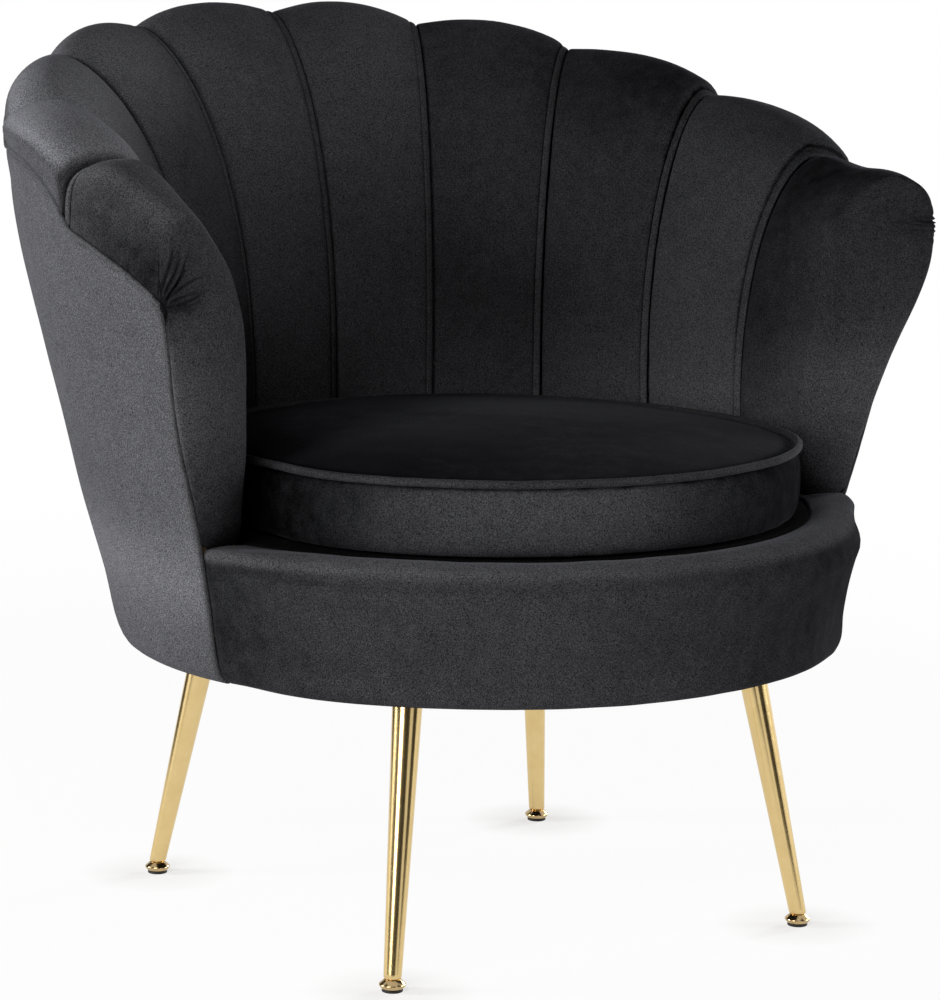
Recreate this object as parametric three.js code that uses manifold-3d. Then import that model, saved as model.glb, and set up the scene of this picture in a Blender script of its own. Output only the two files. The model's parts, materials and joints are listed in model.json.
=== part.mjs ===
// A tub armchair with a scalloped back: a round drum base on four splayed tube legs, a wall of ten
// stuffed petals that curls over at the top, and a loose round seat cushion. Millimetres, +Z up,
// the sitter faces -Y. Angles run from the middle of the back towards +X.

import * as THREE from 'three';
import { mergeVertices } from 'three/addons/utils/BufferGeometryUtils.js';
import Module from 'manifold-3d';

const wasm = await Module();
wasm.setup();

const degree = Math.PI / 180;

// Fits: between neighbours, and from the timber to the upholstery drawn over it
const gap = 0.3;
const paddingGap = 2.5;

// Heights: the drum's underside above the floor, the drum, the straight foot of the inner face, the
// back above it, and how far the crest and the welt below it come down
const baseHeight = 241;
const drumHeight = 117;
const flareRise = 67;
const backRise = 349;
const sideDrop = 117;
const tipDrop = 14;
const backWeltFall = 45;
const sideWeltFall = 40;
const tipWeltFall = 73;

// Radii from the upright axis of the drum: the seat, and what lies outside it
const seatRadius = 250;
const drumMargin = 87;
const drumRound = 31;
const shellFlare = 73;
const crestInset = 30;

// Petals
const lastSeamAngle = 91.8 * degree;
const frontAngle = 107 * degree;
const padThickness = 26;
const weltTuck = 12;
const petalRise = 17;
const petalBulge = 8;
const petalSteps = 6;
const tipSteps = 4;

// Shares at the seams from the back forwards: their angle, and how far the crest and the welt below
// it have come down
const seamShares = [0, 0.245, 0.49, 0.74, 1];
const ridgeDropShares = [0, 0.1, 0.29, 0.61, 1];
const weltDropShares = [0, 0.1, 0.27, 0.51, 1];

// The scallop between two notches: the two powers of a curl that takes up the drop and how much of
// it the arm front has, and an arch that is lower where the drop is larger
const ridgeCurlShares = [2.2, 0.77, 1];
const weltCurlShares = [2, 0.55, 0.4];
const archShare = 0.41;

// Shares at the same seams and at the arm front: the radius of the crest, and how far the inner face
// has come out at the seat, from the seat's radius to the drum's
const crestShares = [1, 1.016, 1.01, 0.974, 0.948, 0.963];
const seatShares = [0, 0.035, 0.046, 0.138, 0.276, 0.54];

// The inner face leans out slowly at first and then curls into the crest
const leanShares = [2.2, 0.615];
const bulgeShare = 0.7;

// Shares of the inner face's height at which its points lie, and of the crest's outer quarter turn
const faceShares = [0, 0.3, 0.55, 0.72, 0.84, 0.92, 0.97, 1];
const curlShares = [0.25, 0.5, 0.75, 1];

// The outer cover's profile: shares of the height from the underside to the back welt, and of the
// way out from the drum's foot to the shell
const coverShares = [
  [0, 0], [0.012, 0.047], [0.043, 0.107], [0.1, 0.167], [0.134, 0.203], [0.26, 0.374],
  [0.423, 0.585], [0.565, 0.752], [0.707, 0.911], [0.813, 0.985], [1, 1],
];
const coverThickness = 4;
const coverHeightShares = [0.18, 0.42, 0.66, 0.84, 1];

// Welts
const weltRadius = 3.2;
const weltSides = 6;

// Arm front rolls
const rollShare = 0.45;
const rollBulgeShare = 1.25;
const rollSteps = 5;
const rollShares = [0, 0.25, 0.5, 0.7, 0.84, 0.93, 0.98];

// Front band: shares of the height from the underside to the band's top, and of the drum's rounding
const bandLip = 2;
const bandSteps = 22;
const bandShares = [
  [0, 0.8], [0.04, 0.65], [0.105, 0.49], [0.4, 0.19], [0.72, 0], [0.88, 0.11], [0.96, 0.38],
  [1, 0.76],
];

// Timber frame
const boardRecess = 9;
const boardThickness = 15;
const bandDepth = 37;
const deckOverhang = 20;
const drumWallThickness = 4;
const deckDepth = 28;
const deckBoardThickness = 12;
const deckRingWidth = 115;
const deckPadInset = 2;
const panelThickness = 4;
const railDepth = 42;
const ribThickness = 18;
const ribSeams = [1, 3];
const ribShares = [0, 0.3, 0.6, 0.85, 1];
const railOuterShares = [0.8, 0.4];
const railInnerShares = [0.2, 0.55];
const roundSteps = 48;
const holeSides = 16;

// Webbing under the deck pad
const strapWidth = 50;
const strapThickness = 2;
const strapHold = 30;
const strapPitch = 95;
const strapCount = 3;

// Underside cloth
const clothThickness = 2;
const clothHole = 3;

// Seat cushion: behind the last seam it follows the petals, and in front of it its outline is given
// as shares of half a turn from the back and of its front radius
const cushionReach = 37;
const cushionThickness = 57;
const cushionSlip = 2;
const cushionShares = [[0.592, 0.949], [0.667, 0.987], [0.778, 1], [1, 1]];
const cushionCrown = 15;
const crownPower = 2.6;
const cushionCloth = 2;
const cushionPiping = 3.5;
const cushionDraw = 3;
const cushionSteps = 40;
const boxingShares = [0, 0.25, 0.6, 1];
const crownShares = [0, 0.35, 0.62, 0.84, 1];

// Legs
const legInsetX = 135;
const legInsetY = 133;
const splayX = 35;
const splayY = 39;
const legTopRadius = 12.9;
const legFootRadius = 7.5;
const legWall = 1.4;
const legPlug = 16;
const legSides = 20;
const plateWidth = 60;
const plateThickness = 3;
const boltRadius = 4;
const boltHeadRadius = 6.5;
const boltHead = 5.5;
const boltClearance = 0.4;

// Levelling glides
const glideSteps = 20;
const glideRadius = 11.2;
const glideFootRadius = 9;
const glideNeckRadius = 6.8;
const glideRimHeight = 5.9;
const glideRim = 0.8;
const glideTop = 10.6;
const glideFoot = 2.2;
const studRadius = 3;
const studLength = 14;
const padRadius = 8.8;

const deckHeight = baseHeight + drumHeight;
const flareHeight = deckHeight + flareRise;
const backRidge = flareHeight + backRise;
const sideRidge = backRidge - sideDrop;
const tipRidge = sideRidge - tipDrop;
const backWelt = backRidge - backWeltFall;
const sideWelt = sideRidge - sideWeltFall;
const tipWelt = tipRidge - tipWeltFall;
const drumRadius = seatRadius + drumMargin;
const drumFoot = drumRadius - drumRound;
const shellRadius = drumRadius + shellFlare;
const crestRadius = shellRadius - crestInset;
const seamAngles = [...seamShares.map((share) => share * lastSeamAngle), frontAngle];
const petalsEachSide = seamShares.length;
const bandTop = deckHeight + bandLip;
const rollBottom = bandTop + gap;
const boardBottom = baseHeight + boardRecess;
const boardTop = boardBottom + boardThickness;
const deckBoardRadius = drumRadius - bandDepth;
const deckPadRadius = deckBoardRadius - deckPadInset;
const deckOpening = deckBoardRadius - deckRingWidth;
const drumWallRadius = deckBoardRadius - deckOverhang;
const deckBoardBottom = deckHeight - deckDepth;
const deckBoardTop = deckBoardBottom + deckBoardThickness;
const weltSlot = 2 * (weltRadius + gap);
const cushionRadius = seatRadius + cushionReach;
const cushionTop = deckHeight + cushionThickness;
const legTopX = drumFoot - legInsetX;
const legTopY = drumFoot - legInsetY;
const legFootX = legTopX + splayX;
const legFootY = legTopY + splayY;
const legBottom = glideTop + gap;
const plateBottom = boardBottom - gap - plateThickness;
const legTop = plateBottom - gap;

// Shared helpers

function curveThrough(points, x) {
  const last = points.length - 1;
  const slope = (i) => {
    const a = points[Math.max(i - 1, 0)];
    const b = points[Math.min(i + 1, last)];
    return (b[1] - a[1]) / (b[0] - a[0]);
  };
  let i = 0;
  while (i < last - 1 && x > points[i + 1][0]) i += 1;
  const [x0, y0] = points[i];
  const [x1, y1] = points[i + 1];
  const span = x1 - x0;
  const t = Math.min(Math.max((x - x0) / span, 0), 1);
  const rise = (1 + 2 * t) * (1 - t) ** 2 * y0 + t * t * (3 - 2 * t) * y1;
  return rise + span * (t * (1 - t) ** 2 * slope(i) - t * t * (1 - t) * slope(i + 1));
}

function curveOver(shares, place) {
  const mirrored = [[-1, shares[1]], ...shares.map((share, i) => [i, share])];
  return curveThrough(mirrored, place);
}

function polar(radius, angle, height) {
  return new THREE.Vector3(radius * Math.sin(angle), radius * Math.cos(angle), height);
}

function steps(from, to, count) {
  return Array.from({ length: count + 1 }, (_, i) => from + (to - from) * i / count);
}

function enclose(positions, index) {
  let geometry = new THREE.BufferGeometry();
  geometry.setAttribute('position', new THREE.Float32BufferAttribute(positions, 3));
  geometry.setIndex(index);
  geometry = mergeVertices(geometry);
  const corners = geometry.getIndex().array;
  const kept = [];
  for (let i = 0; i < corners.length; i += 3) {
    const [a, b, c] = corners.slice(i, i + 3);
    if (a !== b && b !== c && c !== a) kept.push([a, b, c]);
  }
  const place = geometry.getAttribute('position');
  const point = (i) => new THREE.Vector3().fromBufferAttribute(place, i);
  const volume = kept.reduce((sum, [a, b, c]) => sum + point(a).dot(point(b).cross(point(c))), 0);
  geometry.setIndex(kept.flatMap(([a, b, c]) => (volume > 0 ? [a, b, c] : [a, c, b])));
  return geometry;
}

// Joins loops of points into one skin. An open skin is closed by its end loops, seen in upright
// planes through the axis unless flat says otherwise; a loop that has folded shut needs no cap.
const upright = (p) => new THREE.Vector2(Math.hypot(p.x, p.y), p.z);
const level = (p) => new THREE.Vector2(p.x, p.y);

function skin(loops, { round = false, folded = false, flat = upright } = {}) {
  const count = loops[0].length;
  const positions = loops.flatMap((loop) => loop.flatMap((p) => p.toArray()));
  const index = [];
  const rows = round ? loops.length : loops.length - 1;
  for (let i = 0; i < rows; i += 1) {
    const row = i * count;
    const next = (i + 1) % loops.length * count;
    for (let j = 0; j < count; j += 1) {
      const k = (j + 1) % count;
      index.push(row + j, next + j, next + k, row + j, next + k, row + k);
    }
  }
  const cap = (row, forward) => {
    const outline = loops[row].map(flat);
    const ahead = THREE.ShapeUtils.area(outline) > 0;
    for (const [a, b, c] of THREE.ShapeUtils.triangulateShape(outline, [])) {
      const turn = THREE.ShapeUtils.area([outline[a], outline[b], outline[c]]) > 0;
      const order = (turn === ahead) === forward ? [a, b, c] : [a, c, b];
      index.push(...order.map((corner) => row * count + corner));
    }
  };
  if (!round) {
    cap(0, true);
    if (!folded) cap(loops.length - 1, false);
  }
  return enclose(positions, index);
}

function around(angles, outlineAt, options) {
  const loop = (angle) => outlineAt(angle).map(([radius, height]) => polar(radius, angle, height));
  return skin(angles.map(loop), options);
}

function turned(outline, sides) {
  const angles = steps(0, 2 * Math.PI, sides).slice(1);
  return around(angles, () => outline, { round: true });
}

function circle(sides, radius, x = 0, y = 0) {
  return steps(0, 2 * Math.PI, sides).slice(1).map((turn) => [
    x + radius * Math.cos(turn), y + radius * Math.sin(turn),
  ]);
}

function plate(outline, thickness, holes = []) {
  const vectors = (points) => points.map(([x, y]) => new THREE.Vector2(x, y));
  const shape = new THREE.Shape(vectors(outline));
  shape.holes = holes.map((hole) => new THREE.Path(vectors(hole)));
  return new THREE.ExtrudeGeometry(shape, { depth: thickness, bevelEnabled: false });
}

function solid(geometry) {
  const bare = geometry.clone();
  bare.deleteAttribute('normal');
  bare.deleteAttribute('uv');
  const merged = mergeVertices(bare);
  const vertProperties = Float32Array.from(merged.getAttribute('position').array);
  const triVerts = Uint32Array.from(merged.getIndex().array);
  return new wasm.Manifold(new wasm.Mesh({ numProp: 3, vertProperties, triVerts }));
}

function cut(body, ...tools) {
  const result = tools.reduce((rest, tool) => rest.subtract(solid(tool)), solid(body));
  const mesh = result.getMesh();
  const geometry = new THREE.BufferGeometry();
  geometry.setAttribute('position', new THREE.BufferAttribute(mesh.vertProperties, 3));
  geometry.setIndex(new THREE.BufferAttribute(mesh.triVerts, 1));
  return geometry;
}

// The shell's surfaces

function coverRadius(height) {
  const up = (height - baseHeight) / (backWelt - baseHeight);
  return drumFoot + (shellRadius - drumFoot) * curveThrough(coverShares, up);
}

// Which petal an angle falls in, and how far across it from its higher to its lower seam
function petalPlace(angle) {
  const turn = Math.abs(angle);
  const ahead = seamAngles.filter((seam) => seam > turn + Number.EPSILON).length;
  const seam = Math.min(seamAngles.length - ahead, petalsEachSide) - 1;
  const across = Math.min((turn - seamAngles[seam]) / (seamAngles[seam + 1] - seamAngles[seam]), 1);
  return { place: seam + across, seam, across };
}

function notchHeights(back, side, dropShares, tip) {
  return [...dropShares.map((share) => back - share * (back - side)), tip];
}

const ridgeNotches = notchHeights(backRidge, sideRidge, ridgeDropShares, tipRidge);
const weltNotches = notchHeights(backWelt, sideWelt, weltDropShares, tipWelt);

// The edge runs in scallops from notch to notch
function edgeHeight(notches, angle, [power, root, tipShare]) {
  const { seam, across } = petalPlace(angle);
  const drop = notches[seam] - notches[seam + 1];
  const share = seam === petalsEachSide - 1 ? tipShare : 1;
  const curl = (1 - share) * (1 - across) + share * (1 - across ** power) ** root;
  const rise = Math.max(0, petalRise - archShare * drop);
  return notches[seam + 1] + drop * curl + rise * 4 * across * (1 - across);
}

const crestHeight = (angle) => edgeHeight(ridgeNotches, angle, ridgeCurlShares);

// Angles shared by every piece that runs round the whole shell, so that their facets lie alongside
function shellAngles(end, stepsEach, tip) {
  const half = seamAngles.slice(1, -1).flatMap((seam, i) => steps(seamAngles[i], seam, stepsEach).slice(1));
  const side = [...half, ...steps(lastSeamAngle, frontAngle, tip).slice(1, -1), end];
  return [...side.slice().reverse().map((angle) => -angle), 0, ...side];
}

const stations = shellAngles(frontAngle, petalSteps, tipSteps);

// A height that runs straight from one shared angle to the next
function faceted(heightAt) {
  const heights = stations.map(heightAt);
  return (angle) => {
    const i = Math.max(stations.findIndex((each) => each >= angle - Number.EPSILON), 1);
    const share = (angle - stations[i - 1]) / (stations[i] - stations[i - 1]);
    return heights[i - 1] + (heights[i] - heights[i - 1]) * share;
  };
}

const weltHeight = faceted((angle) => edgeHeight(weltNotches, angle, weltCurlShares));

function station(angle) {
  const { place, across } = petalPlace(angle);
  return {
    seat: seatRadius + drumMargin * curveOver(seatShares, place),
    crest: crestRadius * curveOver(crestShares, place),
    seamTop: curveThrough(ridgeNotches.map((height, i) => [i, height]), place),
    bulge: petalBulge * (4 * across * (1 - across)) ** bulgeShare,
  };
}

function lean(share) {
  const [power, root] = leanShares;
  return 1 - (1 - Math.max(share, 0) ** power) ** root;
}

function petalFace(angle) {
  const { seat, crest, bulge } = station(angle);
  const top = crestHeight(angle);
  const edge = weltHeight(angle);
  const inner = seat - bulge;
  const rim = coverRadius(edge);
  const face = faceShares.map((share) => [
    inner + (crest - inner) * lean(share), flareHeight + (top - flareHeight) * share,
  ]);
  const curl = curlShares.map((share) => [
    crest + (rim - crest) * Math.sin(share * Math.PI / 2),
    edge + (top - edge) * Math.cos(share * Math.PI / 2),
  ]);
  return [[inner, deckHeight + gap], ...face, ...curl];
}

// The frame that the petals are drawn over: the same curve, a pad's thickness further in
const coreTop = faceted((angle) => station(angle).seamTop - padThickness);
const coreFoot = (angle) => station(angle).seat + padThickness;
const coreRim = (angle) => coverRadius(weltHeight(angle)) - weltTuck;

function coreFace(angle, height) {
  const foot = coreFoot(angle);
  const share = (height - flareHeight) / (coreTop(angle) - flareHeight);
  return foot + (station(angle).crest - foot) * lean(Math.min(share, 1));
}

function petalBack(angle) {
  const top = coreTop(angle);
  const edge = weltHeight(angle);
  const crest = station(angle).crest;
  const rim = coreRim(angle);
  const curl = curlShares.slice().reverse().map((share) => [
    crest + (rim - crest) * Math.sin(share * Math.PI / 2),
    edge + (top - edge) * Math.cos(share * Math.PI / 2),
  ]);
  const face = faceShares.slice().reverse().map((share) => {
    const height = flareHeight + (top - flareHeight) * share;
    return [coreFace(angle, height), height];
  });
  return [...curl, ...face, [coreFoot(angle), deckHeight + gap]];
}

// Pieces of the shell

function petalAngles(number) {
  const slip = gap / 2 / seatRadius;
  const seam = number > petalsEachSide ? number - petalsEachSide - 1 : petalsEachSide - number;
  const side = number > petalsEachSide ? 1 : -1;
  const low = seamAngles[seam];
  const high = seamAngles[seam + 1];
  const count = seam === petalsEachSide - 1 ? tipSteps : petalSteps;
  const angles = [low + slip, ...steps(low, high, count).slice(1, -1), high - slip];
  return side > 0 ? angles : angles.reverse().map((angle) => -angle);
}

function petal(number) {
  return around(petalAngles(number), (angle) => [...petalFace(angle), ...petalBack(angle)]);
}

const uprightSlot = weltSlot / coverRadius(baseHeight);
const shellStop = frontAngle - gap / 2 / seatRadius;

function coverHeights(top) {
  const above = coverHeightShares.map((share) => boardTop + share * (top - boardTop));
  return [baseHeight, boardBottom, boardTop, ...above];
}

function outerCover() {
  return around(shellAngles(frontAngle - uprightSlot, petalSteps, tipSteps), (angle) => {
    const top = weltHeight(angle) - weltSlot;
    const outside = coverHeights(top).map((height) => [coverRadius(height), height]);
    const inside = outside.map(([radius, height]) => [radius - coverThickness, height]);
    return [...outside, ...inside.reverse()];
  });
}

function scallopWelt() {
  return around(shellAngles(shellStop, petalSteps, tipSteps), (angle) => {
    const height = weltHeight(angle) - weltSlot / 2;
    const radius = coverRadius(height);
    return circle(weltSides, weltRadius).map(([x, y]) => [radius + x, height + y]);
  });
}

function uprightWelt(side) {
  const top = tipWelt - weltSlot - gap;
  return skin(coverHeights(top).map((height) => {
    const radius = coverRadius(height);
    const middle = frontAngle - weltSlot / 2 / radius;
    const centre = polar(radius, side * middle, height);
    return circle(weltSides, weltRadius).map(([x, y]) => centre.clone().add(new THREE.Vector3(x, y, 0)));
  }), { flat: level });
}

// The roll closes the arm's front: the wall's section draws in to its own middle line
function armRoll(side) {
  const top = crestHeight(frontAngle);
  const { seat, crest } = station(frontAngle);
  const rim = coverRadius(tipWelt);
  const heights = [...rollShares, 1].map((share) => rollBottom + (top - rollBottom) * share);
  const levels = heights.map((height) => {
    const inner = seat + (crest - seat) * lean((height - flareHeight) / (top - flareHeight));
    const up = Math.max(height - tipWelt, 0) / (top - tipWelt);
    const outer = height < tipWelt
      ? coverRadius(height)
      : crest + (rim - crest) * Math.sqrt(Math.max(1 - up * up, 0));
    return { height, middle: (inner + outer) / 2, half: (outer - inner) / 2 };
  });
  const loops = steps(0, Math.PI / 2, rollSteps).map((turn) => {
    const place = ({ height, middle, half }, way) => {
      const lift = (height - rollBottom) / (top - rollBottom);
      const puff = way > 0 ? rollBulgeShare * lift * lift * Math.sin(2 * turn) : 0;
      const across = turn < Math.PI / 2 ? half * (Math.cos(turn) + puff) : 0;
      const ahead = rollShare * half * Math.sin(turn) / middle;
      const start = frontAngle + gap / 2 / seatRadius;
      return polar(middle + way * across, side * (start + ahead), height);
    };
    const inside = levels.map((step) => place(step, -1));
    const outside = levels.slice(0, -1).reverse().map((step) => place(step, 1));
    return [...inside, ...outside];
  });
  return skin(loops, { folded: true });
}

function frontBand() {
  const start = frontAngle + gap / 2 / seatRadius;
  const angles = steps(start, 2 * Math.PI - start, bandSteps);
  const widen = 1 / Math.cos((angles[1] - angles[0]) / 2);
  const rise = bandTop - baseHeight;
  const outside = bandShares.map(([up, round]) => [drumRadius - drumRound * round, baseHeight + rise * up]);
  const boardEdge = (innerRadius(boardBottom) + gap) * widen;
  const wallEdge = (drumWallRadius + gap) * widen;
  const deckEdge = (deckBoardRadius + gap) * widen;
  const inside = [
    [deckEdge, bandTop],
    [deckEdge, deckBoardBottom - gap],
    [wallEdge, deckBoardBottom - gap],
    [wallEdge, boardTop + gap],
    [boardEdge, boardTop + gap],
    [boardEdge, baseHeight],
  ];
  return around(angles, () => [...outside, ...inside]);
}

// Timber

function legHoles(radius) {
  return legSigns.map(([x, y]) => circle(holeSides, radius, x * legTopX, y * legTopY));
}

function innerRadius(height) {
  return coverRadius(height) - coverThickness - gap;
}

function baseBoard() {
  const outline = circle(roundSteps, innerRadius(boardBottom));
  return plate(outline, boardThickness, legHoles(boltRadius + boltClearance));
}

function drumWall() {
  const inner = drumWallRadius - drumWallThickness;
  const low = boardTop + gap;
  const high = deckBoardBottom - gap;
  return turned([[inner, low], [drumWallRadius, low], [drumWallRadius, high], [inner, high]], roundSteps);
}

const panelFace = (angle, height) => coreFace(angle, height) + paddingGap;
const railBottom = (angle) => coreTop(angle) - railDepth;

function innerPanel() {
  return around(shellAngles(shellStop, petalSteps, tipSteps), (angle) => {
    const low = deckHeight + gap;
    const high = railBottom(angle) - gap;
    const heights = ribShares.map((share) => low + (high - low) * share);
    const inside = heights.map((height) => [panelFace(angle, height), height]);
    const outside = inside.map(([radius, height]) => [radius + panelThickness, height]);
    return [...inside, ...outside.reverse()];
  });
}

function topRail() {
  return around(shellAngles(shellStop, petalSteps, tipSteps), (angle) => {
    const top = coreTop(angle);
    const edge = weltHeight(angle);
    const crest = station(angle).crest;
    const rim = coreRim(angle) - paddingGap;
    const low = railBottom(angle);
    const outer = railOuterShares.map((share) => [
      crest + (rim - crest) * Math.sin(share * Math.PI / 2),
      edge + (top - edge) * Math.cos(share * Math.PI / 2) - paddingGap,
    ]);
    const inner = railInnerShares.map((share) => {
      const height = top - railDepth * share;
      return [coreFace(angle, height) + paddingGap, height - paddingGap];
    });
    return [[rim, low], ...outer, [crest, top - paddingGap], ...inner, [panelFace(angle, low), low]];
  });
}

// A rib stands on the base board, passes the deck board's edge and carries the top rail
function rib(angle, from, to) {
  const sides = [from, to].map((offset) => angle + offset / seatRadius);
  const inmost = (height) => Math.max(...sides.map((a) => panelFace(a, height))) + panelThickness + gap;
  const top = Math.min(...sides.map(railBottom)) - gap;
  const low = boardTop + gap;
  const back = (height) => Math.min(coverRadius(height) - coverThickness, coreRim(angle)) - paddingGap;
  const notch = deckHeight + gap;
  const outside = ribShares.map((share) => low + (top - low) * share).map((h) => [back(h), h]);
  const inside = ribShares.map((share) => notch + (top - notch) * share).map((h) => [inmost(h) + gap, h]);
  const outline = [
    ...outside,
    ...inside.reverse(),
    [deckBoardRadius + gap, notch],
    [deckBoardRadius + gap, deckBoardBottom - gap],
    [drumWallRadius + gap, deckBoardBottom - gap],
    [drumWallRadius + gap, low],
  ];
  const geometry = plate(outline, to - from);
  geometry.rotateX(Math.PI / 2);
  geometry.translate(0, -from, 0);
  geometry.rotateZ(Math.PI / 2 - angle);
  return geometry;
}

// Seat cushion

const cushionOutline = [
  ...seamAngles.slice(0, -1).map((angle) => [angle, station(angle).seat - petalBulge - cushionSlip]),
  ...cushionShares.map(([turn, out]) => [turn * Math.PI, out * cushionRadius]),
];

function cushionEdge(angle) {
  return curveThrough(cushionOutline, Math.abs(Math.atan2(Math.sin(angle), Math.cos(angle))));
}

const cushionBottom = deckHeight + gap;
const cushionAngles = steps(0, 2 * Math.PI, cushionSteps).slice(1);
const coreBottom = cushionBottom + cushionCloth + gap;
const coreEdgeTop = cushionTop - cushionPiping - gap;

function crownOutline(angle, reach, lift) {
  return crownShares.map((share) => [
    (cushionEdge(angle) - reach) * share,
    cushionTop - cushionPiping + cushionCrown * (1 - share ** crownPower) + lift,
  ]);
}

function boxingOutline(angle, inset) {
  const edge = cushionEdge(angle) - cushionPiping - inset;
  return boxingShares.map((share) => [
    edge - cushionDraw * (1 - 4 * share * (1 - share)),
    cushionBottom + (coreEdgeTop - cushionBottom) * share,
  ]);
}

function cushionCore() {
  const inset = cushionCloth + gap;
  return around(cushionAngles, (angle) => {
    const sides = boxingOutline(angle, inset);
    sides[0][1] = coreBottom;
    const crown = crownOutline(angle, 2 * cushionPiping + inset, -gap);
    return [[0, coreBottom], ...sides, ...crown.reverse()];
  }, { round: true });
}

function cushionTopPanel() {
  return around(cushionAngles, (angle) => [
    ...crownOutline(angle, 2 * cushionPiping + gap, 0),
    ...crownOutline(angle, 2 * cushionPiping + gap, cushionCloth).reverse(),
  ], { round: true });
}

function cushionBoxing() {
  return around(cushionAngles, (angle) => {
    const outside = boxingOutline(angle, 0);
    const inside = boxingOutline(angle, cushionCloth);
    return [...outside, ...inside.reverse()];
  }, { round: true });
}

function cushionBottomPanel() {
  const reach = cushionPiping + cushionDraw + cushionCloth + gap;
  return around(cushionAngles, (angle) => {
    const edge = cushionEdge(angle) - reach;
    const top = cushionBottom + cushionCloth;
    return [[0, cushionBottom], [edge, cushionBottom], [edge, top], [0, top]];
  }, { round: true });
}

function cushionPipingRing() {
  return around(cushionAngles, (angle) => {
    const radius = cushionEdge(angle) - cushionPiping;
    return circle(weltSides, cushionPiping).map(([x, y]) => [radius + x, cushionTop + y]);
  }, { round: true });
}

// Legs

const legSigns = [[-1, -1], [1, -1], [1, 1], [-1, 1]];
const legNames = ['front_left', 'front_right', 'rear_right', 'rear_left'];

// A tapered tube whose ends are cut level, as points of its straight sides at the given heights
function legCone(x, y, low, high, inset) {
  const foot = new THREE.Vector3(x * legFootX, y * legFootY, legBottom);
  const head = new THREE.Vector3(x * legTopX, y * legTopY, legTop);
  const axis = head.clone().sub(foot);
  const ahead = axis.clone().normalize();
  const side = new THREE.Vector3(1, 0, 0).cross(ahead).normalize();
  const across = ahead.clone().cross(side);
  const loops = [low, high].map((height) => circle(legSides, 1).map(([a, b]) => {
    const out = side.clone().multiplyScalar(a).add(across.clone().multiplyScalar(b));
    const start = foot.clone().add(out.clone().multiplyScalar(legFootRadius - inset));
    const end = head.clone().add(out.clone().multiplyScalar(legTopRadius - inset));
    return start.clone().lerp(end, (height - start.z) / (end.z - start.z));
  }));
  return skin(loops, { flat: level });
}

function shaft(x, y, low, high, radius) {
  const geometry = new THREE.CylinderGeometry(radius, radius, high - low, legSides);
  geometry.rotateX(Math.PI / 2);
  return geometry.translate(x, y, (low + high) / 2);
}

function leg(x, y) {
  const hollowBottom = legBottom + legPlug;
  const hollowTop = legTop - legPlug;
  const body = legCone(x, y, legBottom, legTop, 0);
  const hollow = legCone(x, y, hollowBottom, hollowTop, legWall);
  const head = shaft(x * legTopX, y * legTopY, hollowTop - gap, legTop + gap, boltRadius + boltClearance);
  const foot = shaft(
    x * legFootX, y * legFootY, legBottom - gap, hollowBottom + gap, studRadius + boltClearance,
  );
  return cut(body, hollow, head, foot);
}

function legPlate() {
  const half = plateWidth / 2;
  const corners = [[-half, -half], [half, -half], [half, half], [-half, half]];
  return plate(corners, plateThickness, [circle(holeSides, boltRadius + boltClearance)]);
}

function legBolt() {
  const tip = legTop - legPlug;
  const seat = boardTop + gap;
  return turned([
    [0, tip], [boltRadius, tip], [boltRadius, seat], [boltHeadRadius, seat],
    [boltHeadRadius, seat + boltHead], [0, seat + boltHead],
  ], legSides);
}

function glide() {
  const foot = glideFoot + gap;
  return turned([
    [0, foot], [glideFootRadius, foot], [glideRadius, glideRimHeight - glideRim / 2],
    [glideRadius, glideRimHeight + glideRim / 2], [glideNeckRadius, glideTop],
    [studRadius, glideTop], [studRadius, glideTop + studLength], [0, glideTop + studLength],
  ], glideSteps);
}

function glidePad() {
  return turned([[0, 0], [padRadius, 0], [padRadius, glideFoot], [0, glideFoot]], glideSteps);
}

// Finishes

const finishes = {
  velvet: { color: 0x1c1c1f, roughness: 0.9, metalness: 0 },
  velvetPiping: { color: 0x232327, roughness: 0.85, metalness: 0 },
  cloth: { color: 0x111113, roughness: 1, metalness: 0 },
  foam: { color: 0xe6dcb8, roughness: 1, metalness: 0 },
  wood: { color: 0xb98d5a, roughness: 0.7, metalness: 0 },
  webbing: { color: 0x6b5a44, roughness: 0.9, metalness: 0 },
  gold: { color: 0xd4af62, roughness: 0.18, metalness: 1 },
  steel: { color: 0x9a9da0, roughness: 0.4, metalness: 1 },
  rubber: { color: 0x121212, roughness: 0.8, metalness: 0 },
};

const chair = new THREE.Group();

function add(name, geometry, finish, x = 0, y = 0, z = 0) {
  const mesh = new THREE.Mesh(geometry, new THREE.MeshStandardMaterial(finishes[finish]));
  mesh.name = name;
  mesh.position.set(x, y, z);
  chair.add(mesh);
}

function addShell() {
  for (let number = 1; number <= 2 * petalsEachSide; number += 1) {
    add(`petal_${String(number).padStart(2, '0')}`, petal(number), 'velvet');
  }
  add('outer_cover', outerCover(), 'velvet');
  add('scallop_welt', scallopWelt(), 'velvetPiping');
  for (const [name, side] of [['left', -1], ['right', 1]]) {
    add(`arm_roll_${name}`, armRoll(side), 'velvet');
    add(`arm_welt_${name}`, uprightWelt(side), 'velvetPiping');
  }
  add('front_band', frontBand(), 'velvet');
}

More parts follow.
